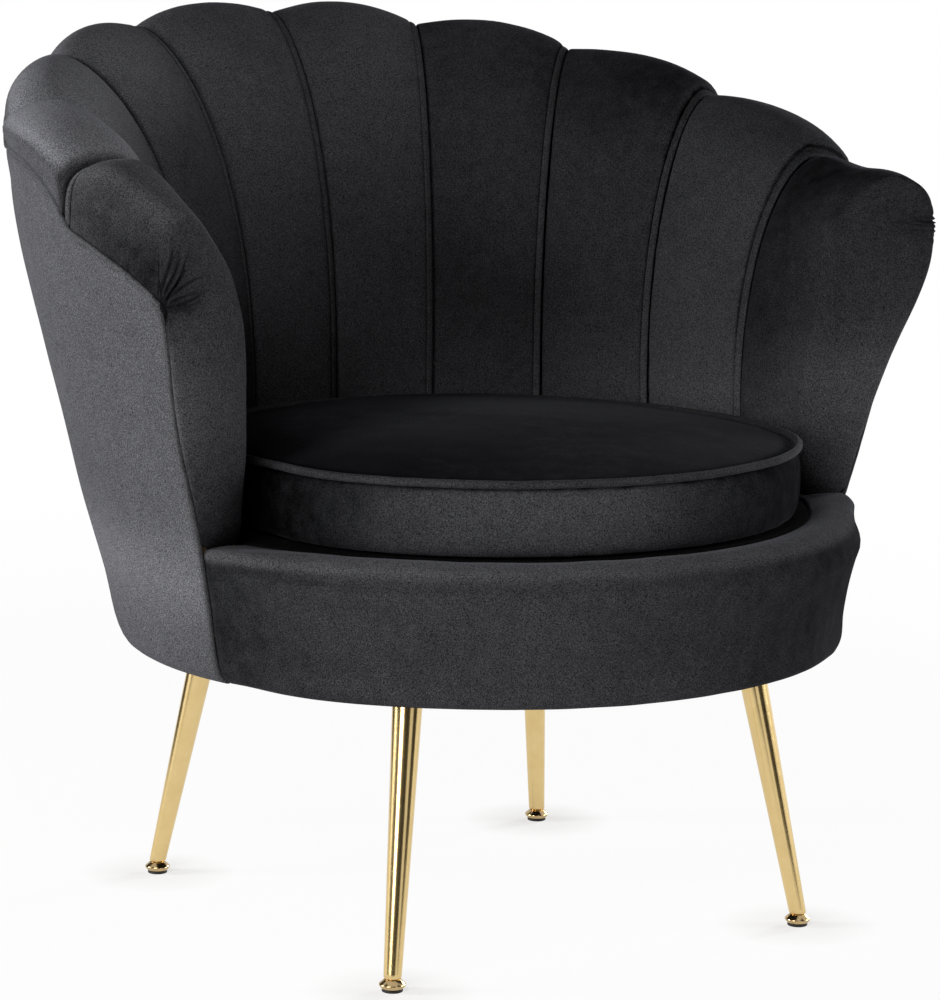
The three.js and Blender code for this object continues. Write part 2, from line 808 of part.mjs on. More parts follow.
function addFrame() {
  add('top_rail', topRail(), 'wood');
  add('inner_panel', innerPanel(), 'wood');
  const ribAngles = ribSeams.flatMap((seam) => [-seamAngles[seam], seamAngles[seam]]);
  ribAngles.sort((a, b) => a - b).forEach((angle, i) => {
    add(`back_rib_${i + 1}`, rib(angle, -ribThickness / 2, ribThickness / 2), 'wood');
  });
  add('arm_post_left', rib(-frontAngle, gap, gap + ribThickness), 'wood');
  add('arm_post_right', rib(frontAngle, -gap - ribThickness, -gap), 'wood');
  add('base_board', baseBoard(), 'wood', 0, 0, boardBottom);
  add('drum_wall', drumWall(), 'wood');
  const opening = [circle(roundSteps, deckOpening)];
  const ring = plate(circle(roundSteps, deckBoardRadius), deckBoardThickness, opening);
  add('deck_board', ring, 'wood', 0, 0, deckBoardBottom);
  addWebbing();
  const padBottom = deckBoardTop + 2 * gap + strapThickness;
  const pad = plate(circle(roundSteps, deckPadRadius), deckHeight - padBottom);
  add('deck_pad', pad, 'cloth', 0, 0, padBottom);
  const clothBottom = plateBottom - gap - clothThickness;
  const clothEdge = circle(roundSteps, innerRadius(baseHeight));
  const cloth = plate(clothEdge, clothThickness, legHoles(legTopRadius + clothHole));
  add('underside_cloth', cloth, 'cloth', 0, 0, clothBottom);
}

function addWebbing() {
  const length = 2 * (deckOpening + strapHold);
  for (let i = 0; i < strapCount; i += 1) {
    const x = (i - (strapCount - 1) / 2) * strapPitch;
    const strap = new THREE.BoxGeometry(strapWidth, length, strapThickness);
    add(`webbing_${i + 1}`, strap, 'webbing', x, 0, deckBoardTop + gap + strapThickness / 2);
  }
}

function addCushion() {
  add('cushion_core', cushionCore(), 'foam');
  add('cushion_top', cushionTopPanel(), 'velvet');
  add('cushion_boxing', cushionBoxing(), 'velvet');
  add('cushion_bottom', cushionBottomPanel(), 'cloth');
  add('cushion_piping', cushionPipingRing(), 'velvetPiping');
}

function addLegs() {
  legSigns.forEach(([x, y], i) => {
    const name = legNames[i];
    add(`leg_${name}`, leg(x, y), 'gold');
    add(`leg_plate_${name}`, legPlate(), 'steel', x * legTopX, y * legTopY, plateBottom);
    add(`leg_bolt_${name}`, legBolt(), 'steel', x * legTopX, y * legTopY, 0);
    add(`glide_${name}`, glide(), 'gold', x * legFootX, y * legFootY, 0);
    add(`glide_pad_${name}`, glidePad(), 'rubber', x * legFootX, y * legFootY, 0);
  });
}

addShell();
addFrame();
addCushion();
addLegs();

// The origin is on the floor under the middle of the chair's own length and width
const box = new THREE.Box3().setFromObject(chair);
chair.position.y = -(box.min.y + box.max.y) / 2;

export default chair;
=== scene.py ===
"""The looks of a tub armchair with a scalloped back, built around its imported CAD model.

Lengths are in millimetres in the shell's own frame, whose axis is the upright axis of the drum.
piece() and set_co() turn them into metres of the row frame. Angles run from the middle of the back
towards +X.
"""

import json
import math

import bmesh
import bpy
import numpy as np
from mathutils import Matrix, Vector, noise


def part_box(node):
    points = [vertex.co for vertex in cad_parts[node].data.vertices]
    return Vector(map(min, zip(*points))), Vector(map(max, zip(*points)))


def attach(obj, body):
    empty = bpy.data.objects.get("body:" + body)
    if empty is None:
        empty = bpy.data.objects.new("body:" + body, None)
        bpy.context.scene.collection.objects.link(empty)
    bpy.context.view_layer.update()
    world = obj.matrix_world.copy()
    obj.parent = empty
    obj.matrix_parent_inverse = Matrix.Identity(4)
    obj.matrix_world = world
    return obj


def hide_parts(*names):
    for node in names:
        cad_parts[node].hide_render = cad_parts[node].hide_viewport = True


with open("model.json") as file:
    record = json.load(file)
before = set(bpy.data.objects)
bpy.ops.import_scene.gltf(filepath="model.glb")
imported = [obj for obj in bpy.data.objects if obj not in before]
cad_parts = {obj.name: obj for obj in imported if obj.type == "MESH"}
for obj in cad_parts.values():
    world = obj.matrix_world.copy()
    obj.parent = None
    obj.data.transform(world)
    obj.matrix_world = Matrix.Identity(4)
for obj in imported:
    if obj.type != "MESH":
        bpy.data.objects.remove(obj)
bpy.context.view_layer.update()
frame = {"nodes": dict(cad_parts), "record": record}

MM = 0.001
wall_low, wall_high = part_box("drum_wall")
AXIS_SHIFT = (0, (wall_low.y + wall_high.y) / 2, 0)

# The shell's driving sizes, near those of the CAD part
GAP = 0.3
BASE = 241
DECK = 358
FLARE = 425
BACK_RIDGE, SIDE_RIDGE, TIP_RIDGE = 774, 657, 643
BACK_WELT, SIDE_WELT, TIP_WELT = 729, 617, 560
SEAT_RADIUS = 250
DRUM_MARGIN = 87
DRUM_RADIUS = 337
DRUM_ROUND = 31
DRUM_FOOT = DRUM_RADIUS - DRUM_ROUND
SHELL_RADIUS = 410
CREST_RADIUS = 380
PAD = 26
TUCK = 12
PETAL_RISE = 17
PETAL_BULGE = 8
BAND_TOP = 360
CORD_RADIUS = 2
CORD_DROP = 1.2
COVER_DROP = 2.6
SEAMS = np.radians([0, 22.491, 44.982, 67.932, 91.8, 107])
FRONT = SEAMS[-1]
RIDGE_DROPS = [0, 0.1, 0.29, 0.61, 1]
NOTCH_DROPS = [0, 0.1, 0.27, 0.51, 1]
RIDGE_CURL = (2.2, 0.77, 1)
WELT_CURL = (2, 0.55, 0.4)
ARCH = 0.41
CREST_SHARES = [1, 1.016, 1.01, 0.974, 0.948, 0.963]
SEAT_SHARES = [0, 0.035, 0.046, 0.138, 0.276, 0.54]
LEAN = (2.2, 0.615)
BULGE_POWER = 0.7
COVER_SHARES = [(0, 0), (0.012, 0.047), (0.043, 0.107), (0.1, 0.167), (0.134, 0.203), (0.26, 0.374),
                (0.423, 0.585), (0.565, 0.752), (0.707, 0.911), (0.813, 0.985), (1, 1)]
BAND_SHARES = [(0, 0.66), (0.04, 0.52), (0.105, 0.45), (0.25, 0.43), (0.4, 0.35), (0.52, 0.26),
               (0.68, 0.11), (0.78, 0), (0.88, 0.1), (0.96, 0.38), (1, 0.76)]

# How far each seam stands off its CAD angle, in degrees, at the crest and at the seat, from the left
# arm's front (0) to the right arm's (10)
CREST_DRIFT = [0, 0, 0, 0, -1.1, 0, -0.4, -0.8, -1.0, -2.0, 0]
SEAT_DRIFT = [0, 0, 0, 0, 0.9, 0, -0.3, 0.5, 1.5, 1.8, 0]

# How far the arm's front seam stands forward of its plane, in degrees, by height
SEAM_HEIGHTS = [241, 288, 371, 455, 536, 570]
SEAM_AHEAD = [-0.8, -0.55, 0.6, 0.5, 1.6, 1.5]
SEAM_REACH = 0.4

# Where the stuffing stands out more or less than its CAD form: angle and its reach in degrees, height
# and its reach, how far out and how far up. It moves out only beyond the first radius, and fully
# beyond the second
SWELLS = [(-94, 17, 668, 38, 3, 9), (106, 9, 622, 36, 11, 9), (98, 6.5, 670, 45, 0, -13.5),
          (107, 8, 562, 34, 0, 32), (107, 12, 550, 36, 13, 0)]
SWELL_RADII = (340, 372)


# Curves and points

def curve_through(xs, ys, x):
    """A smooth curve through points, with the slope between its two neighbours at each."""
    xs, ys, x = np.asarray(xs, float), np.asarray(ys, float), np.asarray(x, float)
    last = len(xs) - 1
    order = np.arange(last + 1)
    low, high = np.maximum(order - 1, 0), np.minimum(order + 1, last)
    slope = (ys[high] - ys[low]) / (xs[high] - xs[low])
    i = np.clip(np.searchsorted(xs, x) - 1, 0, last - 1)
    span = xs[i + 1] - xs[i]
    t = np.clip((x - xs[i]) / span, 0, 1)
    rise = (1 + 2 * t) * (1 - t) ** 2 * ys[i] + t * t * (3 - 2 * t) * ys[i + 1]
    return rise + span * (t * (1 - t) ** 2 * slope[i] - t * t * (1 - t) * slope[i + 1])


def curve_over(shares, along):
    return curve_through(np.arange(-1, len(shares)), [shares[1], *shares], along)


def smooth(low, high, x):
    """A soft step from 0 to 1."""
    t = np.clip((np.asarray(x, float) - low) / (high - low), 0, 1)
    return t * t * (3 - 2 * t)


def bell(offset, reach):
    """1 at no offset, and next to nothing at twice the reach."""
    return np.exp(-(offset / reach) ** 2)


def place(radius, angle, height):
    radius, angle, height = np.broadcast_arrays(radius, angle, height)
    return np.stack([radius * np.sin(angle), radius * np.cos(angle), height], -1)


def angle_of(points):
    return np.arctan2(points[..., 0], points[..., 1])


def radius_of(points):
    return np.hypot(points[..., 0], points[..., 1])


def round_angles(sides):
    return np.linspace(0, 2 * np.pi, sides, endpoint=False)


def sample(wanted, spots, points):
    """Reads points off a line of points whose places along it are known."""
    return np.stack([np.interp(wanted, spots, points[:, axis]) for axis in range(3)], -1)


def as_sewn(points):
    """Moves the shell's points from their even places to where the real chair has them."""
    radius, angle, height = radius_of(points), angle_of(points), points[..., 2]
    shift = np.radians(curve_through(SEAM_HEIGHTS, SEAM_AHEAD, height))
    near = smooth(0, 1, 1 - np.abs(np.abs(angle) - FRONT) / SEAM_REACH)
    turned = angle + np.sign(angle) * shift * near
    outer = smooth(*SWELL_RADII, radius)
    out, up = 0 * radius, 0 * radius
    for spot, reach, level, tall, outward, rise in SWELLS:
        weight = bell(np.degrees(angle) - spot, reach) * bell(height - level, tall)
        out = out + outward * weight * outer
        up = up + rise * weight
    return place(radius + out, turned, height + up)


def wander(points, size, shift):
    """Smooth noise of about -1 to 1 over points in millimetres."""
    flat = np.reshape(points, (-1, 3)) / size
    move = Vector(shift)
    values = [noise.noise(Vector(p) + move) for p in flat]
    return np.reshape(values, np.shape(points)[:-1])


def waves(points, *fields):
    """The sum of fields of smooth noise, each with its height, size and shift."""
    return sum(height * wander(points, size, shift) for height, size, shift in fields)


def normals_of(grid):
    n = np.cross(np.gradient(grid, axis=0), np.gradient(grid, axis=1))
    return n / np.maximum(np.linalg.norm(n, axis=-1, keepdims=True), 1e-9)


# Meshes

def box_of(node):
    """The two corners of a CAD node's box in millimetres in the shell's frame."""
    return [(np.array(corner) - AXIS_SHIFT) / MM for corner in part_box(node)]


def weld(points, faces):
    """Joins points that lie together and drops the faces that this folds shut."""
    points = np.asarray(points, float)
    _, first, back = np.unique(np.round(points, 4), axis=0, return_index=True, return_inverse=True)
    back = back.reshape(-1)
    kept = []
    for face in faces:
        ring = list(dict.fromkeys(int(back[i]) for i in face))
        if len(ring) > 2:
            kept.append(ring)
    return points[first], kept


def volume(points, faces):
    total = 0
    for face in faces:
        a = points[face[0]]
        for i in range(1, len(face) - 1):
            total += np.dot(a, np.cross(points[face[i]], points[face[i + 1]]))
    return total


def piece(name, points, faces, material, body="frame", joined=True):
    """A mesh in the row frame from points in millimetres, facing out, riding on a body."""
    if joined:
        points, faces = weld(points, faces)
    if volume(points, faces) < 0:
        faces = [face[::-1] for face in faces]
    mesh = bpy.data.meshes.new(name)
    mesh.from_pydata([tuple(Vector(p) * MM + Vector(AXIS_SHIFT)) for p in points], [], faces)
    mesh.validate()
    work = bmesh.new()
    work.from_mesh(mesh)
    bmesh.ops.triangulate(work, faces=[f for f in work.faces if len(f.verts) > 4])
    bmesh.ops.recalc_face_normals(work, faces=work.faces)
    work.to_mesh(mesh)
    work.free()
    shade_smooth(mesh)
    obj = bpy.data.objects.new(name, mesh)
    bpy.context.scene.collection.objects.link(obj)
    obj.data.materials.append(material)
    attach(obj, body)
    return obj


def shade_smooth(mesh):
    mesh.polygons.foreach_set("use_smooth", [True] * len(mesh.polygons))


def grid_faces(rows, columns, round_rows=False, round_columns=False):
    faces = []
    for i in range(rows if round_rows else rows - 1):
        for j in range(columns if round_columns else columns - 1):
            k, m = (i + 1) % rows, (j + 1) % columns
            faces.append([i * columns + j, k * columns + j, k * columns + m, i * columns + m])
    return faces


def swept(loops, closed=False, folded=False):
    """Faces over loops of points, an array of loop, point, axis, with caps on the open ends."""
    loops = np.asarray(loops, float)
    rows, columns = loops.shape[:2]
    faces = grid_faces(rows, columns, closed, True)
    if not closed:
        faces.append(list(range(columns)))
        if not folded:
            faces.append(list(range((rows - 1) * columns, rows * columns)))
    return loops.reshape(-1, 3), faces


def tube(path, radius, sides, closed=False):
    """Loops of a round cord along a path round the axis."""
    if closed:
        ahead = np.roll(path, -1, 0) - np.roll(path, 1, 0)
    else:
        ahead = np.gradient(path, axis=0)
    ahead /= np.linalg.norm(ahead, axis=1, keepdims=True)
    out = path * [1, 1, 0]
    out /= np.linalg.norm(out, axis=1, keepdims=True)
    out -= ahead * np.sum(out * ahead, 1, keepdims=True)
    out /= np.linalg.norm(out, axis=1, keepdims=True)
    side = np.cross(ahead, out)
    turn = round_angles(sides)[None, :, None]
    return path[:, None] + radius * (out[:, None] * np.cos(turn) + side[:, None] * np.sin(turn))


def settle(obj):
    """Applies a piece's modifiers to its mesh."""
    depsgraph = bpy.context.evaluated_depsgraph_get()
    mesh = bpy.data.meshes.new_from_object(obj.evaluated_get(depsgraph))
    mesh.name = obj.name
    obj.modifiers.clear()
    obj.data = mesh
    shade_smooth(mesh)


def round_over(obj, levels):
    """Subdivides a piece's mesh into a smoother one."""
    smoother = obj.modifiers.new("rounding", "SUBSURF")
    smoother.levels = smoother.render_levels = levels
    settle(obj)


def points_of(mesh):
    co = np.empty(len(mesh.vertices) * 3)
    mesh.vertices.foreach_get("co", co)
    return (co.reshape(-1, 3) - AXIS_SHIFT) / MM


def co_of(obj):
    return points_of(obj.data)


def set_co(obj, co):
    obj.data.vertices.foreach_set("co", (co * MM + AXIS_SHIFT).ravel())
    obj.data.update()


def mesh_normals(obj):
    n = np.empty(len(obj.data.vertices) * 3)
    obj.data.vertex_normals.foreach_get("vector", n)
    return n.reshape(-1, 3)


def nearest(co, line):
    """How far each point is from the nearest point of a line."""
    return np.min(np.linalg.norm(co[:, None] - line[None], axis=2), axis=1)


# Materials

def nodes_of(name):
    material = bpy.data.materials.new(name)
    material.use_nodes = True
    tree = material.node_tree
    coords = tree.nodes.new("ShaderNodeTexCoord").outputs["Object"]
    return material, tree, tree.nodes["Principled BSDF"], coords


def add_node(tree, kind, inputs):
    """A new node whose named inputs are each linked to a socket or set to a constant."""
    node = tree.nodes.new(kind)
    for name, value in inputs.items():
        if isinstance(value, bpy.types.NodeSocket):
            tree.links.new(value, node.inputs[name])
        else:
            node.inputs[name].default_value = value
    return node


def add_noise(tree, coords, scale, detail=3, rough=0.6):
    inputs = {"Vector": coords, "Scale": scale, "Detail": detail, "Roughness": rough}
    return add_node(tree, "ShaderNodeTexNoise", inputs).outputs["Fac"]


def add_math(tree, kind, a, b):
    n = tree.nodes.new("ShaderNodeMath")
    n.operation = kind
    for socket, value in zip(n.inputs, (a, b)):
        if isinstance(value, (int, float)):
            socket.default_value = value
        else:
            tree.links.new(value, socket)
    return n.outputs[0]


def add_line(tree, field, share, base):
    """A field times a share, plus a base."""
    return add_math(tree, "ADD", add_math(tree, "MULTIPLY", field, share), base)


def add_swing(tree, field, share):
    """A field of 0 to 1 as a swing about nothing."""
    return add_math(tree, "MULTIPLY", add_math(tree, "SUBTRACT", field, 0.5), share)


def add_ramp(tree, value, *stops):
    n = add_node(tree, "ShaderNodeValToRGB", {"Fac": value})
    for element, (spot, colour) in zip(n.color_ramp.elements, stops):
        element.position = spot
        element.color = (*colour, 1)
    return n.outputs["Color"]


def cover_with(tree, shader, colour, rough, height, strength, distance):
    """Gives a shader its colour, its roughness and a relief."""
    bump = add_node(tree, "ShaderNodeBump", {"Strength": strength, "Distance": distance, "Height": height})
    tree.links.new(colour, shader.inputs["Base Color"])
    tree.links.new(rough, shader.inputs["Roughness"])
    tree.links.new(bump.outputs["Normal"], shader.inputs["Normal"])


# Patches and strokes of the pile: scale, detail, roughness and how much they change the tone
PILE_FIELDS = [(10, 2, 0.5, 0.5), (75, 3, 0.6, 0.6)]
PILE_DARKEST = 0.06
SPECKLE = 3.4
SPECKLE_DARKEST = 0.25


def velvet(name, colour, sheen):
    """Short pile: a fine speckle, patches where the pile lies another way, and a pale sheen.

    A mesh attribute on each point makes the pile paler or darker: partly by how it lies, and partly by
    painted light and shade.
    """
    material, tree, shader, coords = nodes_of(name)
    nap_and_shade = tree.nodes.new("ShaderNodeAttribute")
    nap_and_shade.attribute_name = "nap_and_shade"
    level = nap_and_shade.outputs["Fac"]
    for scale, detail, rough, share in PILE_FIELDS:
        field = add_noise(tree, coords, scale, detail, rough)
        level = add_math(tree, "ADD", level, add_swing(tree, field, share))
    level = add_math(tree, "MAXIMUM", add_math(tree, "ADD", level, 1), PILE_DARKEST)
    grain = add_noise(tree, coords, 950, 1)
    speckle = add_math(tree, "ADD", add_swing(tree, grain, SPECKLE), 1)
    level = add_math(tree, "MULTIPLY", level, add_math(tree, "MAXIMUM", speckle, SPECKLE_DARKEST))
    scaled = tree.nodes.new("ShaderNodeVectorMath")
    scaled.operation = "SCALE"
    scaled.inputs[0].default_value = colour
    tree.links.new(level, scaled.inputs["Scale"])
    cover_with(tree, shader, scaled.outputs["Vector"], add_line(tree, grain, 0.2, 0.75), grain, 0.5, 0.0006)
    shader.inputs["Specular IOR Level"].default_value = 0
    shader.inputs["Sheen Weight"].default_value = sheen
    shader.inputs["Sheen Roughness"].default_value = 0.35
    shader.inputs["Sheen Tint"].default_value = (0.86, 0.87, 1, 1)
    return material


def metal(name, pale, deep, rough):
    material, tree, shader, coords = nodes_of(name)
    colour = add_ramp(tree, add_noise(tree, coords, 60), (0.25, deep), (0.75, pale))
    smear = add_noise(tree, coords, 240)
    cover_with(tree, shader, colour, add_line(tree, smear, 0.06, rough), smear, 0.03, 0.0003)
    shader.inputs["Metallic"].default_value = 1
    return material


def timber(name):
    material, tree, shader, coords = nodes_of(name)
    stretch = add_node(tree, "ShaderNodeMapping", {"Scale": (30, 220, 220), "Vector": coords})
    grain = add_noise(tree, stretch.outputs["Vector"], 1, 6, 0.65)
    colour = add_ramp(tree, grain, (0.3, (0.33, 0.17, 0.07)), (0.7, (0.62, 0.4, 0.19)))
    cover_with(tree, shader, colour, add_line(tree, grain, 0.2, 0.55), grain, 0.25, 0.0006)
    return material


def woven(name, dark, light, pitch):
    """Plain weave: two sets of threads, as waves along x and y."""
    material, tree, shader, coords = nodes_of(name)
    threads = {"Scale": 1 / pitch / 3.2, "Distortion": 0.6, "Vector": coords}
    heights = []
    for way in ("X", "Y"):
        wave = add_node(tree, "ShaderNodeTexWave", threads)
        wave.bands_direction = way
        heights.append(wave.outputs["Fac"])
    weave = add_math(tree, "MULTIPLY", heights[0], heights[1])
    wear = add_math(tree, "MULTIPLY", add_noise(tree, coords, 90, 3, 0.5), 0.5)
    colour = add_ramp(tree, add_line(tree, weave, 0.6, wear), (0.2, dark), (0.8, light))
    cover_with(tree, shader, colour, add_line(tree, weave, 0.1, 0.8), weave, 0.5, 0.0005)
    shader.inputs["Specular IOR Level"].default_value = 0
    return material


def matt(name, dark, light, scale, rough):
    material, tree, shader, coords = nodes_of(name)
    grain = add_noise(tree, coords, scale)
    colour = add_ramp(tree, grain, (0.3, dark), (0.7, light))
    cover_with(tree, shader, colour, add_line(tree, grain, 0.15, rough), grain, 0.3, 0.0005)
    return material


VELVET = velvet("charcoal_velvet", (0.036, 0.036, 0.039), 0.05)
VELVET_CORD = velvet("charcoal_velvet_cord", (0.042, 0.042, 0.045), 0.06)
LINING = woven("black_lining", (0.004, 0.004, 0.004), (0.014, 0.014, 0.015), 0.0012)
WEBBING = woven("seat_webbing", (0.08, 0.05, 0.03), (0.24, 0.17, 0.1), 0.003)
GOLD = metal("gold_plating", (0.8, 0.6, 0.29), (0.73, 0.54, 0.24), 0.16)
BRONZE = metal("glide_plating", (0.6, 0.44, 0.23), (0.5, 0.36, 0.18), 0.14)
STEEL = metal("zinc_steel", (0.55, 0.56, 0.57), (0.36, 0.37, 0.38), 0.35)
RUBBER = matt("foot_rubber", (0.004, 0.004, 0.004), (0.012, 0.012, 0.012), 400, 0.75)
WOOD = timber("raw_timber")


# How the pile lies, and painted light and shade

def paint_nap_and_shade(obj, nap_and_shade):
    """Stores how pale or dark each point of a piece is: by how the pile lies, and by painted light and
    shade.
    """
    layer = obj.data.attributes.new("nap_and_shade", "FLOAT", "POINT")
    layer.data.foreach_set("value", np.asarray(nap_and_shade, np.float32))


# Painted light and shade on the petals' crests, from the left arm round to the right arm: how much paler
# than their faces the lit crests on the left are, and how much darker the shaded ones on the right
CREST_TURNS = np.radians([-107, -92.5, -91, -80, -56, -34, -11, 11, 34, 56, 80, 107])
CREST_LIGHT_AND_SHADE = [0.5, 0.8, 2.8, 2.9, 2.0, 1.0, -0.15, 0, -0.1, -0.45, -0.5, -0.4]

# Painted shade and light at the wall's foot, round from the left arm: darker where the left arm's shadow
# falls, paler to the right; and how pale each petal and arm is as a whole
FOOT_TURNS = np.radians([-107, -60, 0, 25, 50])
FOOT_LIGHT_AND_SHADE = [-0.1, -0.35, -0.5, 0.45, 0.75]
FOOT_FADE = (DECK + 60, DECK + 170)
PETAL_NAP = {2: 0, 3: 0, 4: 0.1, 5: 0.42, 6: 0.3, 7: -0.15, 8: -0.15, 9: 0.3}
ARM_NAP = {-1: -0.1, 1: -0.42}
# Painted highlight along the outer crest by the left arm
LEFT_CREST_HIGHLIGHT = 0.5


def wall_light_and_shade(co, unit):
    # Painted highlight and shade on the crests, a painted highlight on the outer crest by the left arm, and
    # painted shade and light at the wall's foot
    angle = angle_of(co)
    crest = np.interp(angle, CREST_TURNS, CREST_LIGHT_AND_SHADE) * smooth(0.25, 0.75, unit[:, 2])
    outer = smooth(CREST_RADIUS - 6, CREST_RADIUS + 16, radius_of(co))
    by_left_arm = smooth(-SEAMS[4] - 0.02, -SEAMS[4] + 0.01, angle) * (angle < -1)
    foot = 1 - smooth(*FOOT_FADE, co[:, 2])
    return crest + LEFT_CREST_HIGHLIGHT * outer * by_left_arm + foot * np.interp(angle, FOOT_TURNS, FOOT_LIGHT_AND_SHADE)


# The shell's surfaces, near those of the CAD part

def cover_radius(height):
    up = (np.asarray(height, float) - BASE) / (BACK_WELT - BASE)
    xs, ys = zip(*COVER_SHARES)
    return DRUM_FOOT + (SHELL_RADIUS - DRUM_FOOT) * curve_through(xs, ys, up)


RIDGES = np.array([BACK_RIDGE - s * (BACK_RIDGE - SIDE_RIDGE) for s in RIDGE_DROPS] + [TIP_RIDGE])
WELTS = np.array([BACK_WELT - s * (BACK_WELT - SIDE_WELT) for s in NOTCH_DROPS] + [TIP_WELT])


def edge_height(notches, seam, across, curl_shares):
    power, root, tip_share = curl_shares
    drop = notches[seam] - notches[seam + 1]
    share = tip_share if seam == len(notches) - 2 else 1
    curl = (1 - share) * (1 - across) + share * (1 - across ** power) ** root
    rise = max(0, PETAL_RISE - ARCH * drop)
    return notches[seam + 1] + drop * curl + rise * 4 * across * (1 - across)


def lean(share):
    return 1 - (1 - np.clip(share, 0, 1) ** LEAN[0]) ** LEAN[1]


def seat_radius(along):
    return SEAT_RADIUS + DRUM_MARGIN * curve_over(SEAT_SHARES, along)


def crest_radius(along):
    return CREST_RADIUS * curve_over(CREST_SHARES, along)


def seam_top(along):
    return curve_through(np.arange(len(RIDGES)), RIDGES, along)


def fullness(side, along):
    """The power of the curl's outline: 2 is an ellipse, and more is fuller."""
    return 2 + 1.4 * smooth(3.2 if side < 0 else 4.1, 4 if side < 0 else 4.9, along)


def welt_height(angle):
    turn = np.abs(np.atleast_1d(angle))
    seam = np.clip(np.searchsorted(SEAMS, turn, side="right") - 1, 0, len(SEAMS) - 2)
    across = np.clip((turn - SEAMS[seam]) / (SEAMS[seam + 1] - SEAMS[seam]), 0, 1)
    return np.array([edge_height(WELTS, s, a, WELT_CURL) for s, a in zip(seam, across)])


class Petal:
    """One petal of the wall, numbered from the left arm; columns run 0 to 1 from its left seam."""

    def __init__(self, number):
        self.number = number
        self.side = 1 if number > 5 else -1
        self.seam = number - 6 if number > 5 else 5 - number

    def edges(self, rise):
        """The angles of its left and right seam at a share of the height from seat to crest."""
        found = []
        for k in (self.number - 1, self.number):
            base = math.copysign(SEAMS[abs(k - 5)], k - 5) if k != 5 else 0.0
            drift = SEAT_DRIFT[k] + (CREST_DRIFT[k] - SEAT_DRIFT[k]) * np.asarray(rise)
            found.append(base + np.radians(drift))
        return found

    def sizes(self, column):
        """Radius at the seat and the crest, heights of ridge and welt, and the place along the wall."""
        across = column if self.side > 0 else 1 - column
        along = self.seam + across
        full = (4 * across * (1 - across)) ** BULGE_POWER
        if self.seam == 4:
            full = np.where(across < 0.5, full, np.cos(np.pi * (across - 0.5)) ** 2)
        return (seat_radius(along) - PETAL_BULGE * full, crest_radius(along),
                edge_height(RIDGES, self.seam, across, RIDGE_CURL),
                edge_height(WELTS, self.seam, across, WELT_CURL), along)

    def face(self, kind, share, column):
        """A row of points: the straight foot, the leaning face or the curl over the crest."""
        inner, crest, top, edge, along = self.sizes(column)
        if kind == "foot":
            radius, height = inner, DECK + GAP + (FLARE - DECK - GAP) * share + 0 * column
        elif kind == "face":
            radius, height = inner + (crest - inner) * lean(share), FLARE + (top - FLARE) * share
        else:
            power = fullness(self.side, along)
            turn = math.acos(min(max(share, 0), 1))
            radius = crest + (cover_radius(edge) - crest) * np.sin(turn) ** (2 / power)
            height = edge + (top - edge) * np.cos(turn) ** (2 / power)
        rise = np.clip((height - DECK) / (top - DECK), 0, 1) if kind != "curl" else 1 + 0 * column
        left, right = self.edges(rise)
        return place(radius, left + (right - left) * column, height)

    def back(self, column):
        """The hidden rows behind the pad, from the rim round to the foot."""
        _, crest, top, edge, along = self.sizes(column)
        rim = cover_radius(edge)
        inner_rim = rim - TUCK
        core_top = seam_top(along) - PAD
        foot = seat_radius(along) + PAD
        rows = [(rim - inset, edge + up, 1) for inset, up in ((0.5, 0.9), (1.8, 0.1), (5, 0), (TUCK, 0))]
        for turn in np.radians([78, 60, 40, 20, 0]):
            rows.append((crest + (inner_rim - crest) * math.sin(turn),
                         edge + (core_top - edge) * math.cos(turn), 1))
        for share in (0.97, 0.92, 0.84, 0.72, 0.55, 0.3, 0):
            height = FLARE + (core_top - FLARE) * share
            rows.append((foot + (crest - foot) * lean(share), height, share))
        rows.append((foot, DECK + GAP + 0 * column, 0))
        out = []
        for radius, height, rise in rows:
            left, right = self.edges(rise)
            out.append(place(radius, left + (right - left) * column, height))
        return out


# Petals and the tucks between them

FOOT_SHARES = [0, 0.2, 0.4, 0.6, 0.8]
FACE_ROWS = 1 - (1 - np.linspace(0, 1, 46)) ** 1.55
CURL_ROWS = np.cos(np.radians(np.linspace(0, 90, 17)))[1:]
PETAL_ROWS = ([("foot", s) for s in FOOT_SHARES] + [("face", s) for s in FACE_ROWS]
              + [("curl", max(s, 0)) for s in CURL_ROWS])
ON_CURL = np.array([kind == "curl" for kind, _ in PETAL_ROWS])
NEAR_CREST = np.array([smooth(0, 0.5, s) if kind == "curl" else smooth(0.6, 0.95, s) * (kind == "face")
                       for kind, s in PETAL_ROWS])

# Distances from a petal's seams, in millimetres, at which its columns stand
NEAR_LEFT = [0.15, 0.7, 1.4, 2.4, 3.7, 5.4, 7.6, 10.5, 14.5, 20]
NEAR_RIGHT = [0.15, 0.8, 1.8, 3, 4.6, 5.8, 6.6, 7.3, 8.2, 9.8, 12.2, 15.6, 20.5]
MIDDLE_COLUMNS = 13
STRIP_WIDTH = 6.4

# How far some petals bulge out over the seam on their right, in millimetres, near the crest
CREST_PUFF = {2: 10, 3: 3, 7: 1.5, 8: 5.5, 9: 3.5}
CURL_PUFF = 2.2

# Width and depth of a petal's stuffed edges: the left one by the chair's side, and the right one
LEFT_EDGE = {-1: (6.5, 4.5), 1: (4, 1.7)}
RIGHT_EDGE = (6, 2.6)
SEAM_DEPTH = 4
SEAM_PULL = 0.3

# Painted shade in the creases at a petal's right and left edge: how much darker they are, and how wide on
# either side
CREASE_SHADE = (0.95, 0.8)
CREASE_SHADE_WIDTH = {-1: 3, 1: 1.3}


def petal_columns(width):
    left = np.array(NEAR_LEFT) / width
    right = 1 - np.array(NEAR_RIGHT)[::-1] / width
    middle = np.linspace(left[-1], right[0], MIDDLE_COLUMNS + 2)[1:-1]
    return np.concatenate([left, middle, right])


